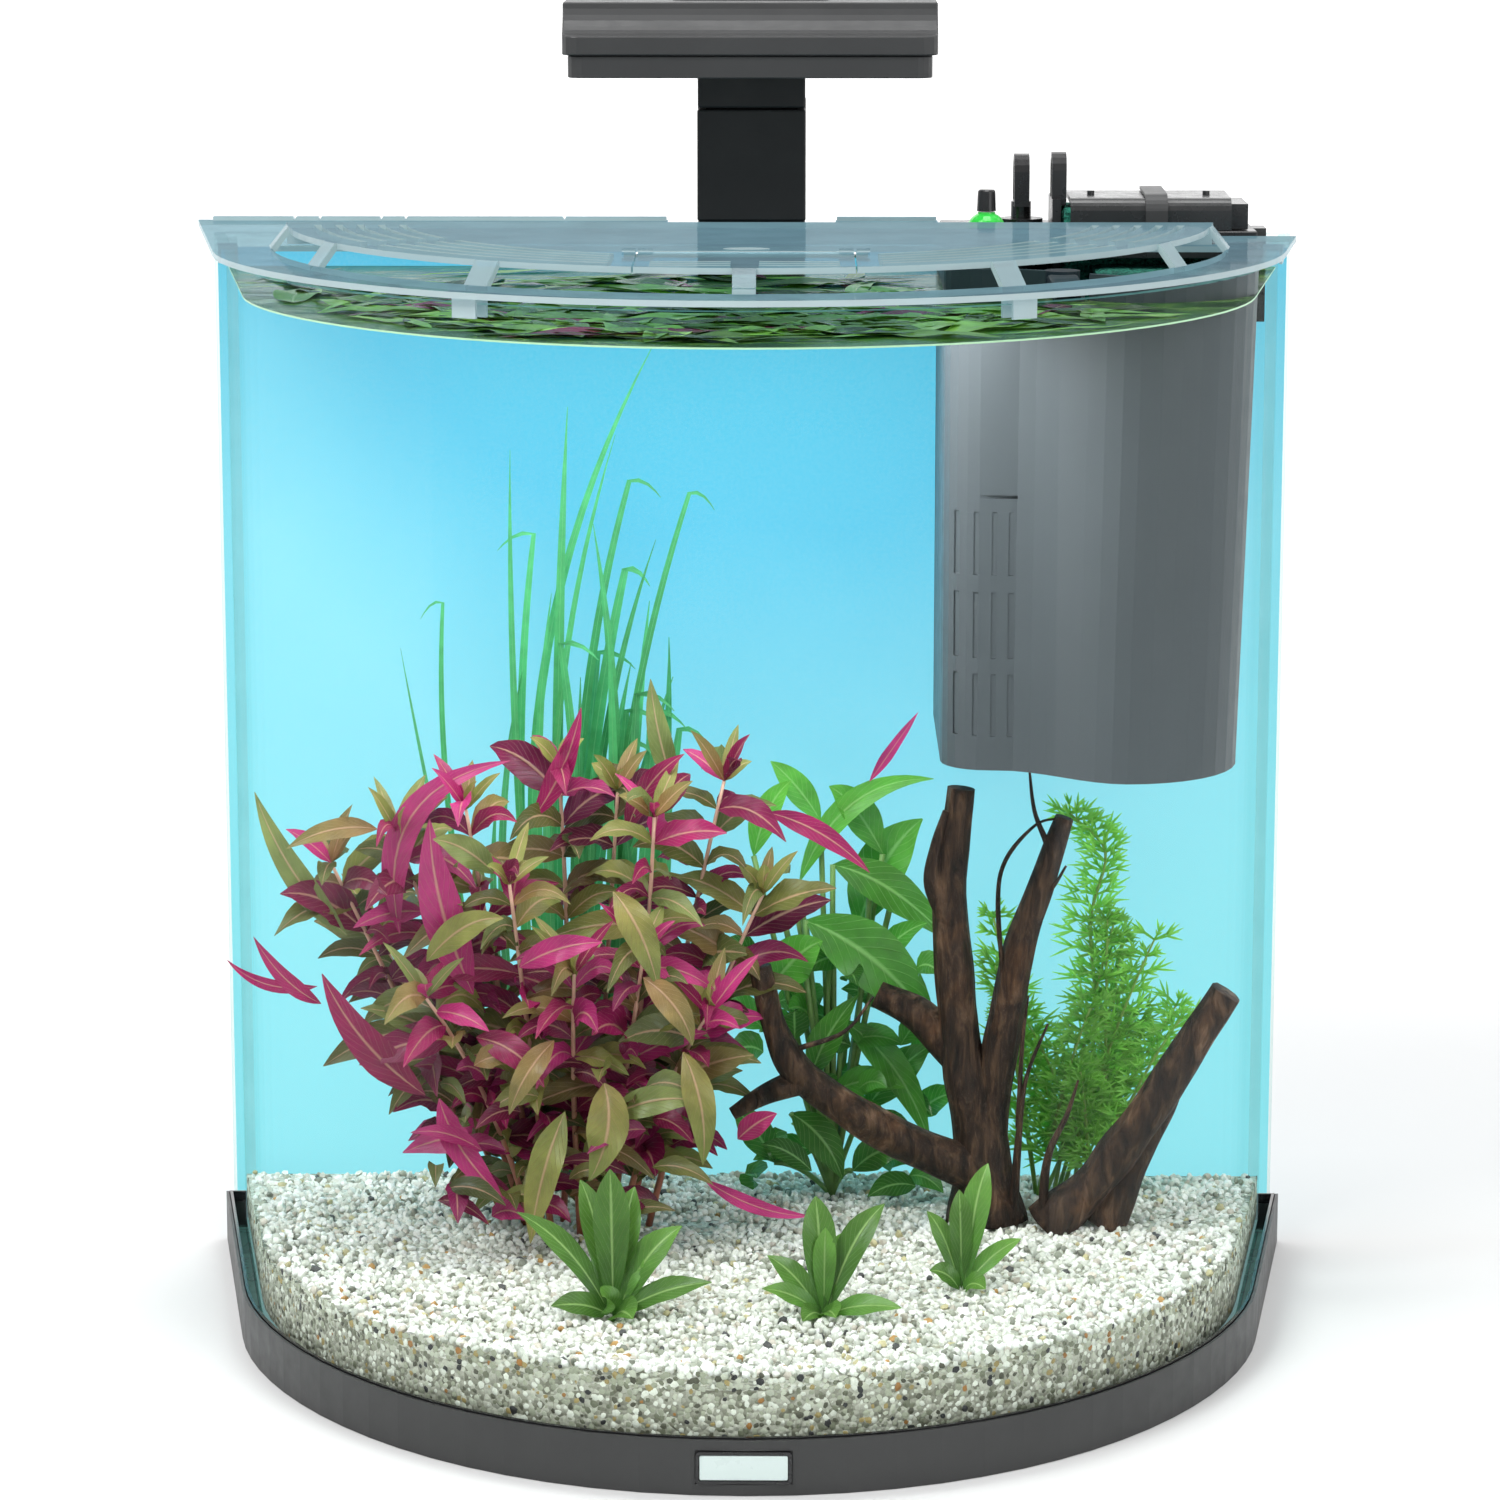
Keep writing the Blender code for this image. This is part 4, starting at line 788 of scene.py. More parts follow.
MAGENTA = [((0.30, 0.006, 0.085), (0.38, 0.010, 0.11)), ((0.20, 0.006, 0.05), (0.32, 0.010, 0.09)),
           ((0.42, 0.015, 0.14), (0.46, 0.030, 0.17))]
OLIVE = [((0.20, 0.22, 0.045), (0.28, 0.26, 0.07)), ((0.26, 0.20, 0.05), (0.20, 0.24, 0.06)),
         ((0.14, 0.18, 0.05), (0.24, 0.27, 0.08)), ((0.30, 0.16, 0.06), (0.22, 0.20, 0.06))]
STEM_RED = ((0.40, 0.12, 0.07), (0.78, 0.50, 0.38))


def in_box(node, u, v, w):
    """A point at shares of a node's box: across, back and up."""
    low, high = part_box(node)
    return Vector((low.x + (high.x - low.x) * u, low.y + (high.y - low.y) * v, low.z + (high.z - low.z) * w))


def spot_in(node, point, parts=100):
    """A point given in hundredths of a node's box, or in other parts of it."""
    return in_box(node, *(p / parts for p in point))


def millimetres(values):
    return Vector([value / 1000 for value in values])


# The large leaves that give the red plant its outline: base and tip as (across, back, up) in hundredths of
# the plant's box, width and bow in millimetres, and r for magenta or o for olive.
RED_LEAVES = [
    ((35, 30, 33), (15, 15, 60), 12.5, (-6, -4, -4), "r"),
    ((38, 25, 33), (52, 15, 13), 10, (-6, -3, -2), "r"),
    ((30, 35, 66), (53, 30, 102), 10.5, (-30, -2, 22), "r"),
    ((45, 30, 54), (37, 20, 91), 15, (-7, -4, 3), "r"), ((57, 55, 88), (67, 50, 111), 8.5, (4, -2, -3), "r"),
    ((76, 55, 85), (88, 45, 102), 8.5, (-4, -3, 6), "r"), ((14, 30, 52), (1, 20, 67), 6, (-2, -2, -5), "r"),
    ((13, 35, 55), (-5, 30, 61), 4.5, (-4, 0, -8), "r"), ((19, 40, 65), (1, 35, 95), 9.5, (-6, -2, -4), "o"),
    ((126, 90, 92), (136, 85, 107), 4, (0, 0, 0), "r"), ((105, 75, 87), (126, 70, 75), 8, (2, 0, 6), "r"),
    ((86, 65, 92), (81, 60, 116), 8.5, (-3, -2, 2), "o"),
    ((92, 20, 17), (114, 15, 10), 5.5, (0, -3, -6), "r"),
    ((99, 15, 26), (107, 10, 32), 8.5, (0, -2, 3), "r"), ((72, 12, 38), (69, 2, 19), 15, (8, -10, 3), "o"),
    ((88, 15, 44), (92, 5, 22), 11, (6, -10, 3), "o"), ((64, 12, 32), (57, 2, 6), 12, (-3, -8, 3), "o"),
    ((74, 15, 77), (83, 8, 58), 11.5, (4, -8, 5), "o"), ((73, 12, 31), (92, 6, 35), 10.5, (0, -6, 8), "o"),
    ((36, 20, 62), (52, 10, 72), 10.5, (0, -4, 10), "o"), ((50, 20, 80), (38, 10, 88), 10, (0, -3, 6), "o"),
    ((26, 30, 88), (8, 20, 85), 7.5, (0, -3, 7), "o"), ((55, 10, 62), (72, 2, 68), 9.5, (0, -6, 6), "r"),
    ((46, 15, 47), (60, 5, 38), 10.5, (4, -6, 8), "r"), ((62, 10, 47), (53, 0, 33), 9, (-3, -8, 4), "o"),
    ((80, 10, 60), (90, 2, 47), 10, (6, -8, 4), "o"),
]
# Its stems: foot and top in hundredths of the box.
RED_STEMS = [
    ((50, 75, 0), (16, 40, 80)), ((54, 72, 0), (30, 35, 86)), ((58, 65, 0), (44, 30, 92)),
    ((60, 55, 0), (53, 18, 78)), ((66, 55, 0), (66, 15, 60)), ((72, 65, 0), (82, 35, 90)),
    ((76, 70, 0), (96, 60, 95)), ((70, 55, 0), (80, 20, 64)), ((62, 75, 0), (62, 60, 98)),
    ((56, 60, 0), (36, 15, 55)), ((80, 70, 0), (104, 55, 72)), ((68, 80, 0), (74, 70, 92)),
    ((52, 80, 0), (24, 70, 62)), ((74, 60, 0), (93, 30, 50)),
]


def grow_red():
    """A bush of magenta and olive lance leaves in pairs up pale pink stems."""
    plant = Foliage(21)
    rng = plant.rng
    node = "plant_red"
    for foot, top in RED_STEMS:
        lean = Vector((rng.uniform(-0.006, 0.006), rng.uniform(-0.004, 0.004), 0.010))
        line = arc(spot_in(node, foot), spot_in(node, top), lean, 14)
        plant.stem(line, [0.0013 - 0.0007 * i / 14 for i in range(15)], STEM_RED, 6)
        grow_red_pairs(plant, line, in_box(node, 0.5, 0.5, 0.5).y)
        grow_red_crown(plant, line[-1])
    grow_red_skirt(plant, node)
    for base, tip, width, bow, kind in RED_LEAVES:
        tone = rng.choice(MAGENTA if kind == "r" else OLIVE)
        face = Vector((rng.uniform(-0.15, 0.15), -1, 0.35))
        plant.leaf(spot_in(node, base), spot_in(node, tip), millimetres(bow), 14, width / 1000, face, tone,
                   0.10, 0.10, 6)
    look = leaf_look("red_leaf", 11, 0.22, 0.40, 0.30, (0.62, 0.36, 0.24))
    plant.build("red_plant", look, "red_leaf", node)


def grow_red_pairs(plant, line, middle):
    """Leaves in twos and threes up a stem, with painted shade darkening those behind the plant's middle."""
    rng = plant.rng
    for k in range(3, 15):
        here = line[k]
        turn = k * 1.9 + rng.uniform(-0.5, 0.5)
        for side in (0, math.pi, 1.6)[:2 + k % 2]:
            angle = turn + side
            reach = rng.uniform(0.017, 0.037) * (1.15 - 0.25 * k / 14)
            out = Vector((math.cos(angle), math.sin(angle) * 0.75, rng.uniform(-0.35, 0.50)))
            tone = rng.choice(MAGENTA if rng.random() < 0.46 else OLIVE)
            # Behind the plant's middle the leaves are darker: painted shade.
            tone = shaded(tone, rng.uniform(0.45, 1.15) if here.y < middle else rng.uniform(0.3, 0.8))
            bow = Vector((0, rng.uniform(-0.003, 0.003), rng.uniform(0.004, 0.013)))
            face = Vector((rng.uniform(-0.5, 0.5), -0.7, rng.uniform(0.2, 0.9)))
            width = reach * rng.uniform(0.27, 0.40)
            plant.leaf(here, here + out * reach, bow, 9, width, face, tone, 0.16, 0.14)


def grow_red_crown(plant, crown):
    """Five small leaves at a stem's top."""
    rng = plant.rng
    for k in range(5):
        angle = k * 1.257 + rng.uniform(-0.3, 0.3)
        out = Vector((math.cos(angle), math.sin(angle), rng.uniform(0.6, 1.4)))
        tone = rng.choice(MAGENTA if rng.random() < 0.35 else OLIVE)
        plant.leaf(crown, crown + out * rng.uniform(0.009, 0.018), Vector((0, 0, 0.003)), 6,
                   rng.uniform(0.004, 0.0065), Vector((0, -0.7, 0.7)), tone, 0.15, 0.05)


def grow_red_skirt(plant, node):
    """Small leaves crowded low down, darkened by painted shade."""
    rng = plant.rng
    for _ in range(110):
        here = in_box(node, rng.uniform(0.36, 0.86), rng.uniform(0.1, 0.8), rng.uniform(0.08, 0.42))
        angle = rng.uniform(0, math.tau)
        out = Vector((math.cos(angle), -abs(math.sin(angle)) * 0.6, rng.uniform(-0.5, 0.4)))
        tip = here + out * rng.uniform(0.014, 0.028)
        tip.z = max(tip.z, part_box(node)[0].z + 0.004)
        # Low in the bush each leaf is darkened: painted shade.
        skirt_painted_shade = rng.uniform(0.3, 0.9)
        tone = shaded(rng.choice(MAGENTA if rng.random() < 0.4 else OLIVE), skirt_painted_shade)
        plant.leaf(here, tip, Vector((0, 0, 0.006)), 8, rng.uniform(0.005, 0.009),
                   Vector((rng.uniform(-0.5, 0.5), -0.8, 0.5)), tone, 0.16, 0.12)


# The grass's blades: tip across, tip up and bow across in hundredths of the plant's box, then width in
# millimetres.
GRASS_BLADES = [
    (85, 100, -55, 3), (103, 83.5, 10, 2.8), (13, 88, -20, 2.6), (-42, 65.5, -30, 2.2), (-22, 70, -42, 2),
    (42, 93, -10, 3.6), (55, 80, 10, 4), (70, 74, 5, 4.4), (82, 70, 12, 4.6), (92, 66, 22, 4.8),
    (76, 60, 14, 4.4), (62, 68, 0, 3.8), (34, 72, -12, 3.4), (24, 78, -20, 3), (18, 62, -15, 3.4),
    (48, 62, 4, 4.4), (97, 55, 30, 4), (5, 48, -10, 3), (66, 90, -30, 2.6), (38, 66, -2, 4.2),
    (56, 56, 8, 4.6), (86, 78, -8, 3.4), (72, 84, -18, 3), (30, 55, -8, 4),
]


def grow_grass():
    """Long ribbon blades from one crown that lean out and bow, some bent over at the tip."""
    plant = Foliage(33)
    rng = plant.rng
    node = "plant_grass"
    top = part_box(node)[1].z
    blades = [(u / 100, w / 100, bow / 100, width / 1000) for u, w, bow, width in GRASS_BLADES]
    blades += [(rng.uniform(0.40, 0.98), rng.uniform(0.45, 0.74), rng.uniform(-0.05, 0.2), 0.0042)
               for _ in range(14)]
    for k, (u, w, bow, width) in enumerate(blades):
        share = 0.42 + 0.32 * (u - 0.45) + rng.uniform(-0.05, 0.05)
        bow += rng.uniform(-0.22, 0.22)
        foot = in_box(node, share, rng.uniform(0.3, 0.7), 0.0)
        tip = in_box(node, u, rng.uniform(0.0, 1.0), w)
        line = curve(foot, in_box(node, share + bow, 0.5, w * 0.55), tip, 24)
        if k % 3 == 1:
            lean = math.copysign(rng.uniform(0.007, 0.014), u - share)
            line += [tip + Vector((lean * s, 0, 0.004 * s - 0.010 * s * s)) for s in (0.3, 0.6, 0.85, 1.0)]
        for point in line:
            point.z = min(point.z, top)
        tone = shaded([(0.050, 0.26, 0.060), (0.080, 0.40, 0.150)], rng.uniform(0.85, 1.3))
        face = Vector((rng.uniform(-0.9, 0.9), -1, 0.1))
        plant.strip(line, strap(len(line), width * 1.15), face, tone, 0.10, 0.0, 2)
    look = leaf_look("grass_leaf", 0.0, 0.0, 0.32, 0.45, (0.20, 0.58, 0.24))
    plant.build("grass_plant", look, "green_leaf", node)


# Large leaves: base and tip in hundredths of the plant's box, width and bow in millimetres, and how light a
# green.
BROAD_LEAVES = [
    ((37, 35, 66), (99, 15, 42), 23, (4, -4, 10), 1.0), ((50, 55, 78), (106, 40, 61), 15, (0, -2, 10), 0.85),
    ((62, 75, 62), (93, 70, 88), 20, (-4, 0, 8), 1.15), ((55, 45, 42), (97, 30, 14), 12, (6, -2, 10), 1.05),
    ((50, 45, 25), (85, 30, 27), 11, (0, -2, 8), 1.3), ((30, 45, 20), (55, 20, 6), 13, (4, -4, 6), 0.6),
    ((12, 55, 80), (30, 45, 98), 10.5, (-3, 0, 6), 1.5),
    ((34, 55, 74), (98, 55, 98), 9.5, (-10, 0, 20), 1.4), ((20, 35, 50), (45, 20, 62), 17, (0, -2, 6), 1.5),
    ((40, 30, 30), (62, 10, 50), 12, (-5, -4, 0), 0.9), ((66, 60, 20), (98, 50, 36), 14, (0, -2, 6), 0.8),
    ((22, 50, 8), (2, 30, 22), 12, (0, -2, 6), 0.7), ((60, 50, 6), (86, 30, 12), 12.5, (0, -2, 8), 0.65),
    ((44, 60, 88), (20, 55, 102), 10, (0, 0, 4), 1.5), ((74, 65, 80), (48, 60, 96), 13, (0, 0, 8), 1.2),
]


def grow_broadleaf():
    """Broad veined leaves on green stalks, with smaller ones crowded low down."""
    plant = Foliage(45)
    rng = plant.rng
    node = "plant_broadleaf"
    green = (0.070, 0.27, 0.034)
    crown = in_box(node, 0.5, 0.5, 0.0)
    for base, tip, width, bow, shade in BROAD_LEAVES:
        a = spot_in(node, base)
        tone = tuple(c * shade for c in green)
        end = (tone[0] * 1.3, tone[1] * 1.15, tone[2] * 1.1)
        stalk = arc(crown, a, Vector((0, 0.002, 0.006)), 7)
        plant.stem(stalk, [0.0011] * 8, ((0.16, 0.30, 0.08), (0.22, 0.42, 0.12)))
        plant.leaf(a, spot_in(node, tip), millimetres(bow), 14, width / 1000,
                   Vector((rng.uniform(-0.2, 0.2), -1, 0.5)), (tone, end), 0.12, 0.05, 6, 0.42)
    for _ in range(46):
        here = in_box(node, rng.uniform(0.08, 0.92), rng.uniform(0.15, 0.9), rng.uniform(0.03, 0.62) ** 1.1)
        angle = rng.uniform(0, math.tau)
        out = Vector((math.cos(angle), -abs(math.sin(angle)) * 0.5, rng.uniform(-0.2, 0.7)))
        tone = shaded((green, green), rng.uniform(0.45, 1.25))
        plant.leaf(here, here + out * rng.uniform(0.014, 0.026), Vector((0, 0, 0.005)), 8,
                   rng.uniform(0.0075, 0.0125), Vector((0, -0.8, 0.6)), tone, 0.12, 0.05, belly=0.42)
    for _ in range(7):
        top = in_box(node, rng.uniform(0.2, 0.8), rng.uniform(0.3, 0.7), rng.uniform(0.5, 0.8))
        plant.stem(arc(crown, top, Vector((rng.uniform(-0.004, 0.004), 0, 0.004)), 8), [0.0012] * 9,
                   ((0.16, 0.28, 0.08), (0.26, 0.44, 0.14)))
    look = leaf_look("broad_leaf", 10, 0.42, 0.30, 0.30, (0.33, 0.62, 0.20))
    plant.build("broad_plant", look, "green_leaf", node)


# The tall fern's line in hundredths of the plant's box.
FERN_HOOK = [(46, 50, 0), (56, 50, 45), (53, 50, 72), (60, 50, 90), (42, 50, 100)]


def grow_fern():
    """Feathery whorls of forked threads on pale stems, one of them tall and hooked over."""
    plant = Foliage(57)
    rng = plant.rng
    node = "plant_fern"
    lines = [spline([spot_in(node, point) for point in FERN_HOOK], 6)]
    for _ in range(15):
        foot = in_box(node, rng.uniform(0.25, 0.75), rng.uniform(0.2, 0.8), 0.0)
        top = in_box(node, rng.uniform(0.02, 1.0), rng.uniform(0.1, 0.9), rng.uniform(0.32, 0.74))
        lines.append(arc(foot, top, Vector((0, 0, 0.012)), 12))
    for n, line in enumerate(lines):
        shade = 1.25 if n == 0 else rng.uniform(0.75, 1.2)
        radii = [0.0009 - 0.0005 * i / (len(line) - 1) for i in range(len(line))]
        plant.stem(line, radii, ((0.20, 0.36, 0.06), (0.38, 0.58, 0.14)))
        tone, light = shaded([(0.17, 0.50, 0.05), (0.34, 0.74, 0.12)], shade)
        for k in range(2, len(line)):
            for m in range(7):
                angle = m * 0.9 + k * 1.3 + rng.uniform(-0.2, 0.2)
                reach = rng.uniform(0.008, 0.016) * (1.1 - 0.4 * k / len(line))
                out = Vector((math.cos(angle), math.sin(angle) * 0.6, rng.uniform(0.15, 0.75))).normalized()
                grow_thread(plant, line[k], out, reach, tone, light)
    look = leaf_look("fern_leaf", 0.0, 0.0, 0.45, 0.45, (0.45, 0.72, 0.18))
    plant.build("fern_plant", look, "green_leaf", node)


def grow_thread(plant, here, out, reach, tone, light):
    """A thread that forks in three."""
    rng = plant.rng
    mid = here + out * reach * 0.5
    face = Vector((rng.uniform(-0.3, 0.3), -1, 0.2))
    plant.strip([here, (here + mid) / 2, mid], [0.0007, 0.0008, 0.0007], face, (tone, tone), 0, 0, 1)
    for fork in (-0.6, -0.1, 0.45):
        spin = Matrix.Rotation(fork + rng.uniform(-0.15, 0.15), 3, "Y")
        end = mid + (spin @ out) * reach * rng.uniform(0.45, 0.7)
        plant.strip([mid, (mid + end) / 2, end], [0.0007, 0.0009, 0.0002], face, (tone, light), 0, 0, 1)


# The small front plants: seed, then each leaf's heading in degrees, its reach, rise and width in millimetres,
# and a shade of green.
ROSETTES = {
    "left": (71, [
        (100, 6, 50, 12.5, 0.9), (165, 34, 34, 8.5, 0.8), (15, 24, 30, 11, 1.1), (60, 14, 42, 11, 1.0),
        (130, 18, 44, 10, 0.85), (-10, 34, 14, 9, 0.9), (200, 22, 6, 9.5, 0.75), (-60, 14, 3, 12, 1.0),
        (-110, 10, 10, 10, 1.1), (30, 12, 22, 9, 1.5)]),
    "middle": (72, [
        (110, 8, 40, 11.5, 0.95), (150, 22, 18, 8.5, 0.9), (30, 24, 36, 10.5, 0.8), (-20, 28, 6, 8, 1.25),
        (200, 22, 12, 7.5, 1.2), (-70, 12, 3, 9, 1.1), (80, 4, 30, 8, 1.5), (240, 14, 2, 8.5, 0.9),
        (60, 13, 26, 7.5, 1.3)]),
    "right": (73, [
        (50, 14, 42, 10, 1.25), (150, 14, 26, 7, 1.0), (20, 22, 16, 7, 1.5), (-50, 12, 3, 8.5, 1.1),
        (100, 6, 34, 8, 0.9), (200, 12, 8, 7.5, 0.9)]),
}


def grow_front():
    for side, (seed, leaves) in ROSETTES.items():
        grow_rosette("plant_front_" + side, "front_plant_" + side, seed, leaves)


def grow_rosette(node, name, seed, leaves):
    """A small front plant: upright and spreading leaves from one crown."""
    plant = Foliage(seed)
    crown = in_box(node, 0.5, 0.5, 0.0)
    for angle, reach, rise, width, shade in leaves:
        reach, rise = reach / 1000, rise / 1000
        out = Vector((math.cos(math.radians(angle)), math.sin(math.radians(angle)), 0))
        tip = crown + out * reach + Vector((0, 0, rise))
        bow = Vector((0, 0, max(0.004, rise * 0.25))) - out * reach * 0.12
        tones = shaded([(0.055, 0.165, 0.024), (0.125, 0.27, 0.045)], shade)
        plant.leaf(crown + out * 0.001, tip, bow, 12, width / 1000, Vector((0, -0.75, 0.75)), tones,
                   0.14, 0.06, 6, 0.55)
    plant.build(name, leaf_look(name + "_leaf", 12, 0.25, 0.34, 0.35, (0.42, 0.62, 0.22)), "green_leaf", node)


# ---------------------------------------------------------------- wood

def rough_branch(wood, line, radii, sides, seed, lumps):
    """A branch with burls and furrows: rings of points round the line, pushed in and out."""
    start = len(wood.points)
    side = Vector((1, 0, 0))
    for i, here in enumerate(line):
        tangent = direction(line, i)
        side = (side - tangent * side.dot(tangent)).normalized()
        other = tangent.cross(side)
        for j in range(sides):
            angle = math.tau * j / sides
            out = side * math.cos(angle) + other * math.sin(angle)
            spot = here + out * radii[i]
            knot = noise.noise(spot * 55 + Vector((seed, 0, 0)))
            furrow = noise.noise(Vector((angle * 2.2, seed, spot.z * 16)))
            wood.points.append(here + out * radii[i] * (1 + lumps * knot + 0.13 * furrow))
            wood.colours.append(WHITE)
    wood.tube(start, len(line), sides, (0, 0))


def taper(line, start, end, swell=0.0):
    """Radii from start to end along a line, with a flare of the depth swell at its foot."""
    last = len(line) - 1
    flares = [swell * math.exp(-((i / last) * 6) ** 2) for i in range(last + 1)]
    return [start + (end - start) * i / last + flare for i, flare in enumerate(flares)]

# Branches as points in thousandths of the node's box, then, in millimetres, the radius at the start and at
# the end and the flare at the foot, the number of sides and how knotty it is.
TRUNK = [
    ([(741, 670, 0), (724, 670, 151), (670, 670, 339), (635, 640, 526), (613, 620, 758), (648, 620, 1000)],
     10.5, 5, 3.5, 24, 0.18),
    ([(732, 670, 182), (768, 620, 358), (830, 560, 620), (896, 530, 777), (971, 510, 939)],
     7.8, 3.4, 0, 16, 0.16),
    ([(724, 620, 107), (529, 420, 176), (299, 210, 283), (139, 120, 370), (60, 100, 483), (15, 100, 620)],
     8.2, 4, 0, 16, 0.2),
    ([(157, 120, 358), (33, 100, 326), (-73, 70, 283)], 5, 2.2, 0, 12, 0.2),
    ([(679, 720, 358), (529, 890, 458), (387, 970, 508)], 7.5, 5, 0, 14, 0.15),
    ([(613, 560, 695), (560, 530, 783), (569, 530, 870), (600, 530, 952)], 4.2, 1.5, 0, 10, 0.25),
    ([(732, 670, 82), (684, 450, 45), (635, 450, 6)], 7.5, 3.2, 0, 12, 0.2),
    ([(732, 670, 82), (786, 510, 45), (839, 510, 6)], 7.5, 3.2, 0, 12, 0.2),
    ([(732, 670, 82), (755, 940, 45), (777, 940, 6)], 7.5, 3.2, 0, 12, 0.2),
]
LOG = [
    ([(171, 620, 0), (356, 550, 169), (581, 410, 435), (779, 270, 725), (977, 160, 1002)],
     8.2, 5.8, 1.5, 18, 0.2),
    ([(435, 690, 0), (541, 660, 213), (686, 550, 480), (779, 440, 680)], 6.8, 4.2, 0, 16, 0.24),
]
# Twigs as points in thousandths of the trunk's box, and their radius in millimetres.
TWIGS = [
    ([(786, 510, 545), (763, 480, 745), (786, 450, 845), (878, 450, 924), (954, 480, 939)], 1.1),
    ([(914, 510, 883), (874, 450, 958), (856, 450, 1058)], 1.1),
    ([(896, 510, 758), (936, 450, 783), (976, 420, 833)], 1.1),
    ([(821, 450, 13), (834, 400, 195), (856, 370, 345), (923, 340, 476)], 1.9),
    ([(834, 400, 232), (843, 370, 420), (861, 370, 539)], 1.1),
    ([(909, 340, 13), (927, 290, 170), (985, 260, 270), (1020, 260, 351)], 1.9),
    ([(139, -10, 439), (281, -90, 483), (369, -120, 564)], 1.1),
]


def carve(node, name, branches, twigs, look, seed):
    wood = Foliage(seed)
    for k, (points, start, end, flare, sides, lumps) in enumerate(branches):
        line = spline([spot_in(node, point, 1000) for point in points], 7)
        radii = taper(line, start / 1000, end / 1000, flare / 1000)
        rough_branch(wood, line, radii, sides, seed + 3.0 * k, lumps)
    for k, (points, thick) in enumerate(twigs):
        line = spline([spot_in(node, point, 1000) for point in points], 6)
        rough_branch(wood, line, taper(line, thick / 1000, 0.0004), 7, seed + 50.0 + k, 0.3)
    wood.build(name, look, "driftwood", node)


def carve_wood():
    look = wood_look()
    carve("driftwood_trunk", "driftwood_root", TRUNK, TWIGS, look, 81)
    carve("driftwood_log", "driftwood_short", LOG, [], look, 82)


# ---------------------------------------------------------------- water

def fill_water():
    """The water's surface, with an opening round the filter box."""
    outline = outline_of("filter_box", WATER_LINE)
    cx, cy = middle_of(outline)
    far = {}
    for x, y in outline:
        key = round(math.atan2(y - cy, x - cx), 2)
        reach = math.hypot(x - cx, y - cy)
        if key not in far or reach > far[key][0]:
            far[key] = (reach, x, y)
    grown = [(cx + (x - cx) * 1.006, cy + (y - cy) * 1.006) for _, (_, x, y) in sorted(far.items())]
    plate = prism("water_surface", [(x * 0.999, y * 0.999) for x, y in BED], WATER_LINE - 0.0006, WATER_LINE)
    hole = prism("water_hole", grown, WATER_LINE - 0.005, WATER_LINE + 0.005)
    cut = plate.modifiers.new("filter", "BOOLEAN")
    cut.object = hole
    cut.operation = "DIFFERENCE"
    apply_modifiers(plate)
    bpy.data.objects.remove(hole)
    dress(plate, water_look(), smooth=False)


def surface_line(rng, number):
    """A line that bends along the water's surface."""
    start = Vector((rng.uniform(-0.18, 0.18), rng.triangular(-0.135, 0.12, -0.10), WATER_LINE + 0.0005))
    angle = rng.gauss(0.0, 0.9) + rng.choice((0, math.pi))
    length = rng.uniform(0.03, 0.09)
    bend = rng.uniform(-0.9, 0.9)
    line = []
    for i in range(15):
        turn = angle + bend * (i / 14)
        here = (line[-1] if line else start) + Vector((math.cos(turn), math.sin(turn), 0)) * length / 14
        here.z = WATER_LINE + 0.0006 + 0.0003 * math.sin(i * 0.7 + number)
        line.append(here)
    return line


def trail_leaves():
    """Blades and a few leaves that lie along the water's surface, mostly near the front."""
    plant = Foliage(91)
    rng = plant.rng
    low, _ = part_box("filter_box")
    made = 0
    while made < 260:
        line = surface_line(rng, made)
        wet = all(room(p.x, p.y) > 0.004 for p in line)
        clear = all(not (p.x > low.x - 0.006 and p.y > low.y - 0.008) for p in line)
        if not (wet and clear):
            continue
        made += 1
        # These floating blades partly stand in for the plants seen reflected in the surface from below:
        # partly a painted reflection.
        if made % 17 == 0:
            tone = rng.choice(MAGENTA)
        else:
            shade = rng.choice((0.3, 0.8, 1.2, 1.7, 2.3)) * rng.uniform(0.8, 1.2)
            tone = shaded([(0.08, 0.24, 0.02), (0.20, 0.34, 0.06)], shade)
        width = rng.choice((0.004, 0.007, 0.010, 0.015)) * rng.uniform(0.8, 1.2)
        plant.strip(line, lance(15, width, 0.5), Vector((0, 0, 1)), tone, 0.04, 0.03)
    look = leaf_look("trailing_leaf", 9, 0.2, 0.25, 0.2, (0.40, 0.58, 0.22))
    plant.build("trailing_leaves", look, "green_leaf")


# ---------------------------------------------------------------- camera and light

CAMERA_AT, PITCH, YAW, LENS, SENSOR = (0.0162, -1.6311, 0.5381), 0.19437, 0.0095, 116.67, 36
# The studio: each block's name, its sides in plan as (left, right, front, back), and its foot and top.
FLOOR = ("floor", (-30, 30, -20, 12), -0.02, -0.0002)
WALL = ("wall", (-30, 30, 11.5, 12), 0, 20)
SIDE_WALLS = (("wall_left", (-30, -29, -20, 11.4), 0, 20), ("wall_right", (29, 30, -20, 11.4), 0, 20),
              ("wall_front", (-28.9, 28.9, -20, -19), 0, 20))
# Softboxes: name, place, what it is aimed at, size and power.
SOFTBOXES = (("key", (-1.1, -1.3, 1.9), (0, 0, 0.2), (0.9, 0.9), 36),
             ("fill", (1.7, -1.5, 1.1), (0, 0, 0.2), (0.9, 1.5), 17),
             ("top", (0, 0.0, 2.2), (0, 0, 0.2), (1.2, 0.9), 22),
             ("tank_light", (-0.02, 0.0, WATER_LINE - 0.004), (-0.02, 0.0, 0), (0.22, 0.12), 1.0))


def softbox(name, where, target, size, power):
    light = bpy.data.lights.new(name, "AREA")
    light.shape = "RECTANGLE"
    light.size, light.size_y = size
    light.energy = power
    obj = put(name, light)
    obj.location = where
    obj.rotation_euler = (Vector(target) - obj.location).to_track_quat("-Z", "Y").to_euler()
    return obj


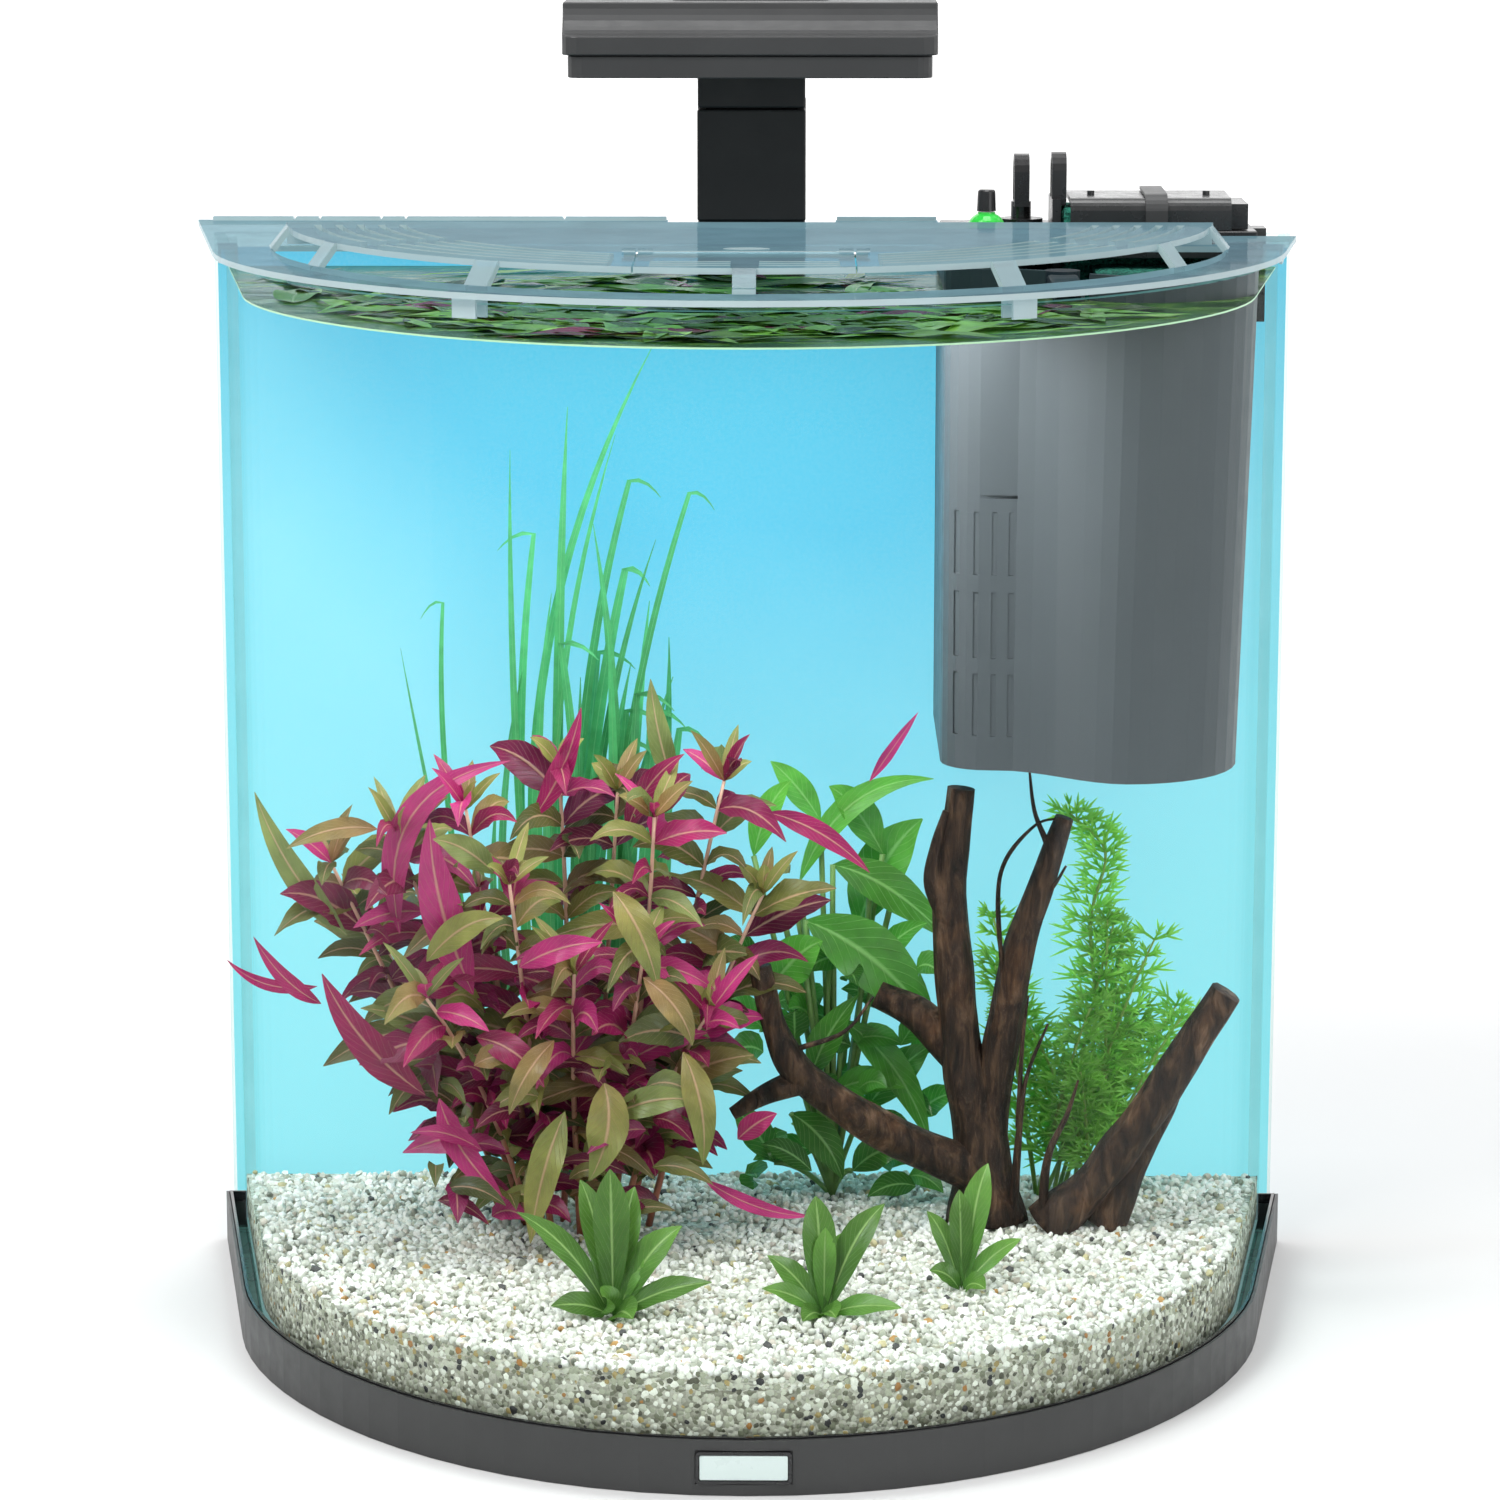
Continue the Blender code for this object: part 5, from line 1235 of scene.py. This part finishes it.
def block(name, sides, low, high, look):
    left, right, front, back = sides
    obj = prism(name, [(left, front), (right, front), (right, back), (left, back)], low, high)
    obj.data.materials.append(look)
    return obj


def set_stage():
    floor, wall = block(*FLOOR, floor_look()), block(*WALL, wall_look("studio_wall", 1.0))
    side_look = wall_look("studio_side_wall", 0.2)
    others = [block(*side, side_look) for side in SIDE_WALLS]
    for each in others:
        each.visible_diffuse = False
        each.visible_glossy = False
    boxes = [softbox(*numbers) for numbers in SOFTBOXES]
    boxes[-1].visible_camera = False
    boxes[-1].visible_glossy = False


def set_camera():
    scene = bpy.context.scene
    camera = put("camera", bpy.data.cameras.new("camera"))
    camera.data.lens = LENS
    camera.data.sensor_width = SENSOR
    camera.data.clip_start, camera.data.clip_end = 0.05, 100
    camera.location = CAMERA_AT
    camera.rotation_euler = (math.pi / 2 - PITCH, 0, YAW)
    scene.camera = camera
    world = bpy.data.worlds.new("studio")
    scene.world = world
    world.use_nodes = True
    background = world.node_tree.nodes["Background"].inputs
    background["Color"].default_value = (1, 1, 1, 1)
    background["Strength"].default_value = 0.6
    scene.view_settings.view_transform = "Standard"
    scene.cycles.transparent_max_bounces = 24
    scene.cycles.max_bounces = 8


def wall_look(name, glow):
    look = Look(name)
    tone = look.mix(look.noise(3, 2), (0.93, 0.93, 0.93), (0.95, 0.95, 0.95))
    return look.done(look.lit(look.principled(tone, 0.7), tone, glow))


def floor_look():
    """A pale floor, a little deeper where the lights fall full on it, with a faint glow far out."""
    look = Look("studio_floor")
    away = look.node("VectorMath", {0: look.place()}, operation="LENGTH").outputs["Value"]
    tone = look.ramp(look.remap(away, 0.3, 2.5), (0.0, (0.60, 0.60, 0.60)), (1.0, (0.94, 0.94, 0.94)))
    return look.done(look.lit(look.principled(tone, 0.7), WHITE, look.remap(away, 1.0, 6.0, 0.06, 0.33)))


GRAVEL = gravel_look("gravel", True)
set_camera()
set_stage()
dress_cad()
lay_gravel()
cut_foams()
carve_wood()
grow_red()
grow_grass()
grow_broadleaf()
grow_fern()
grow_front()
fill_water()
trail_leaves()
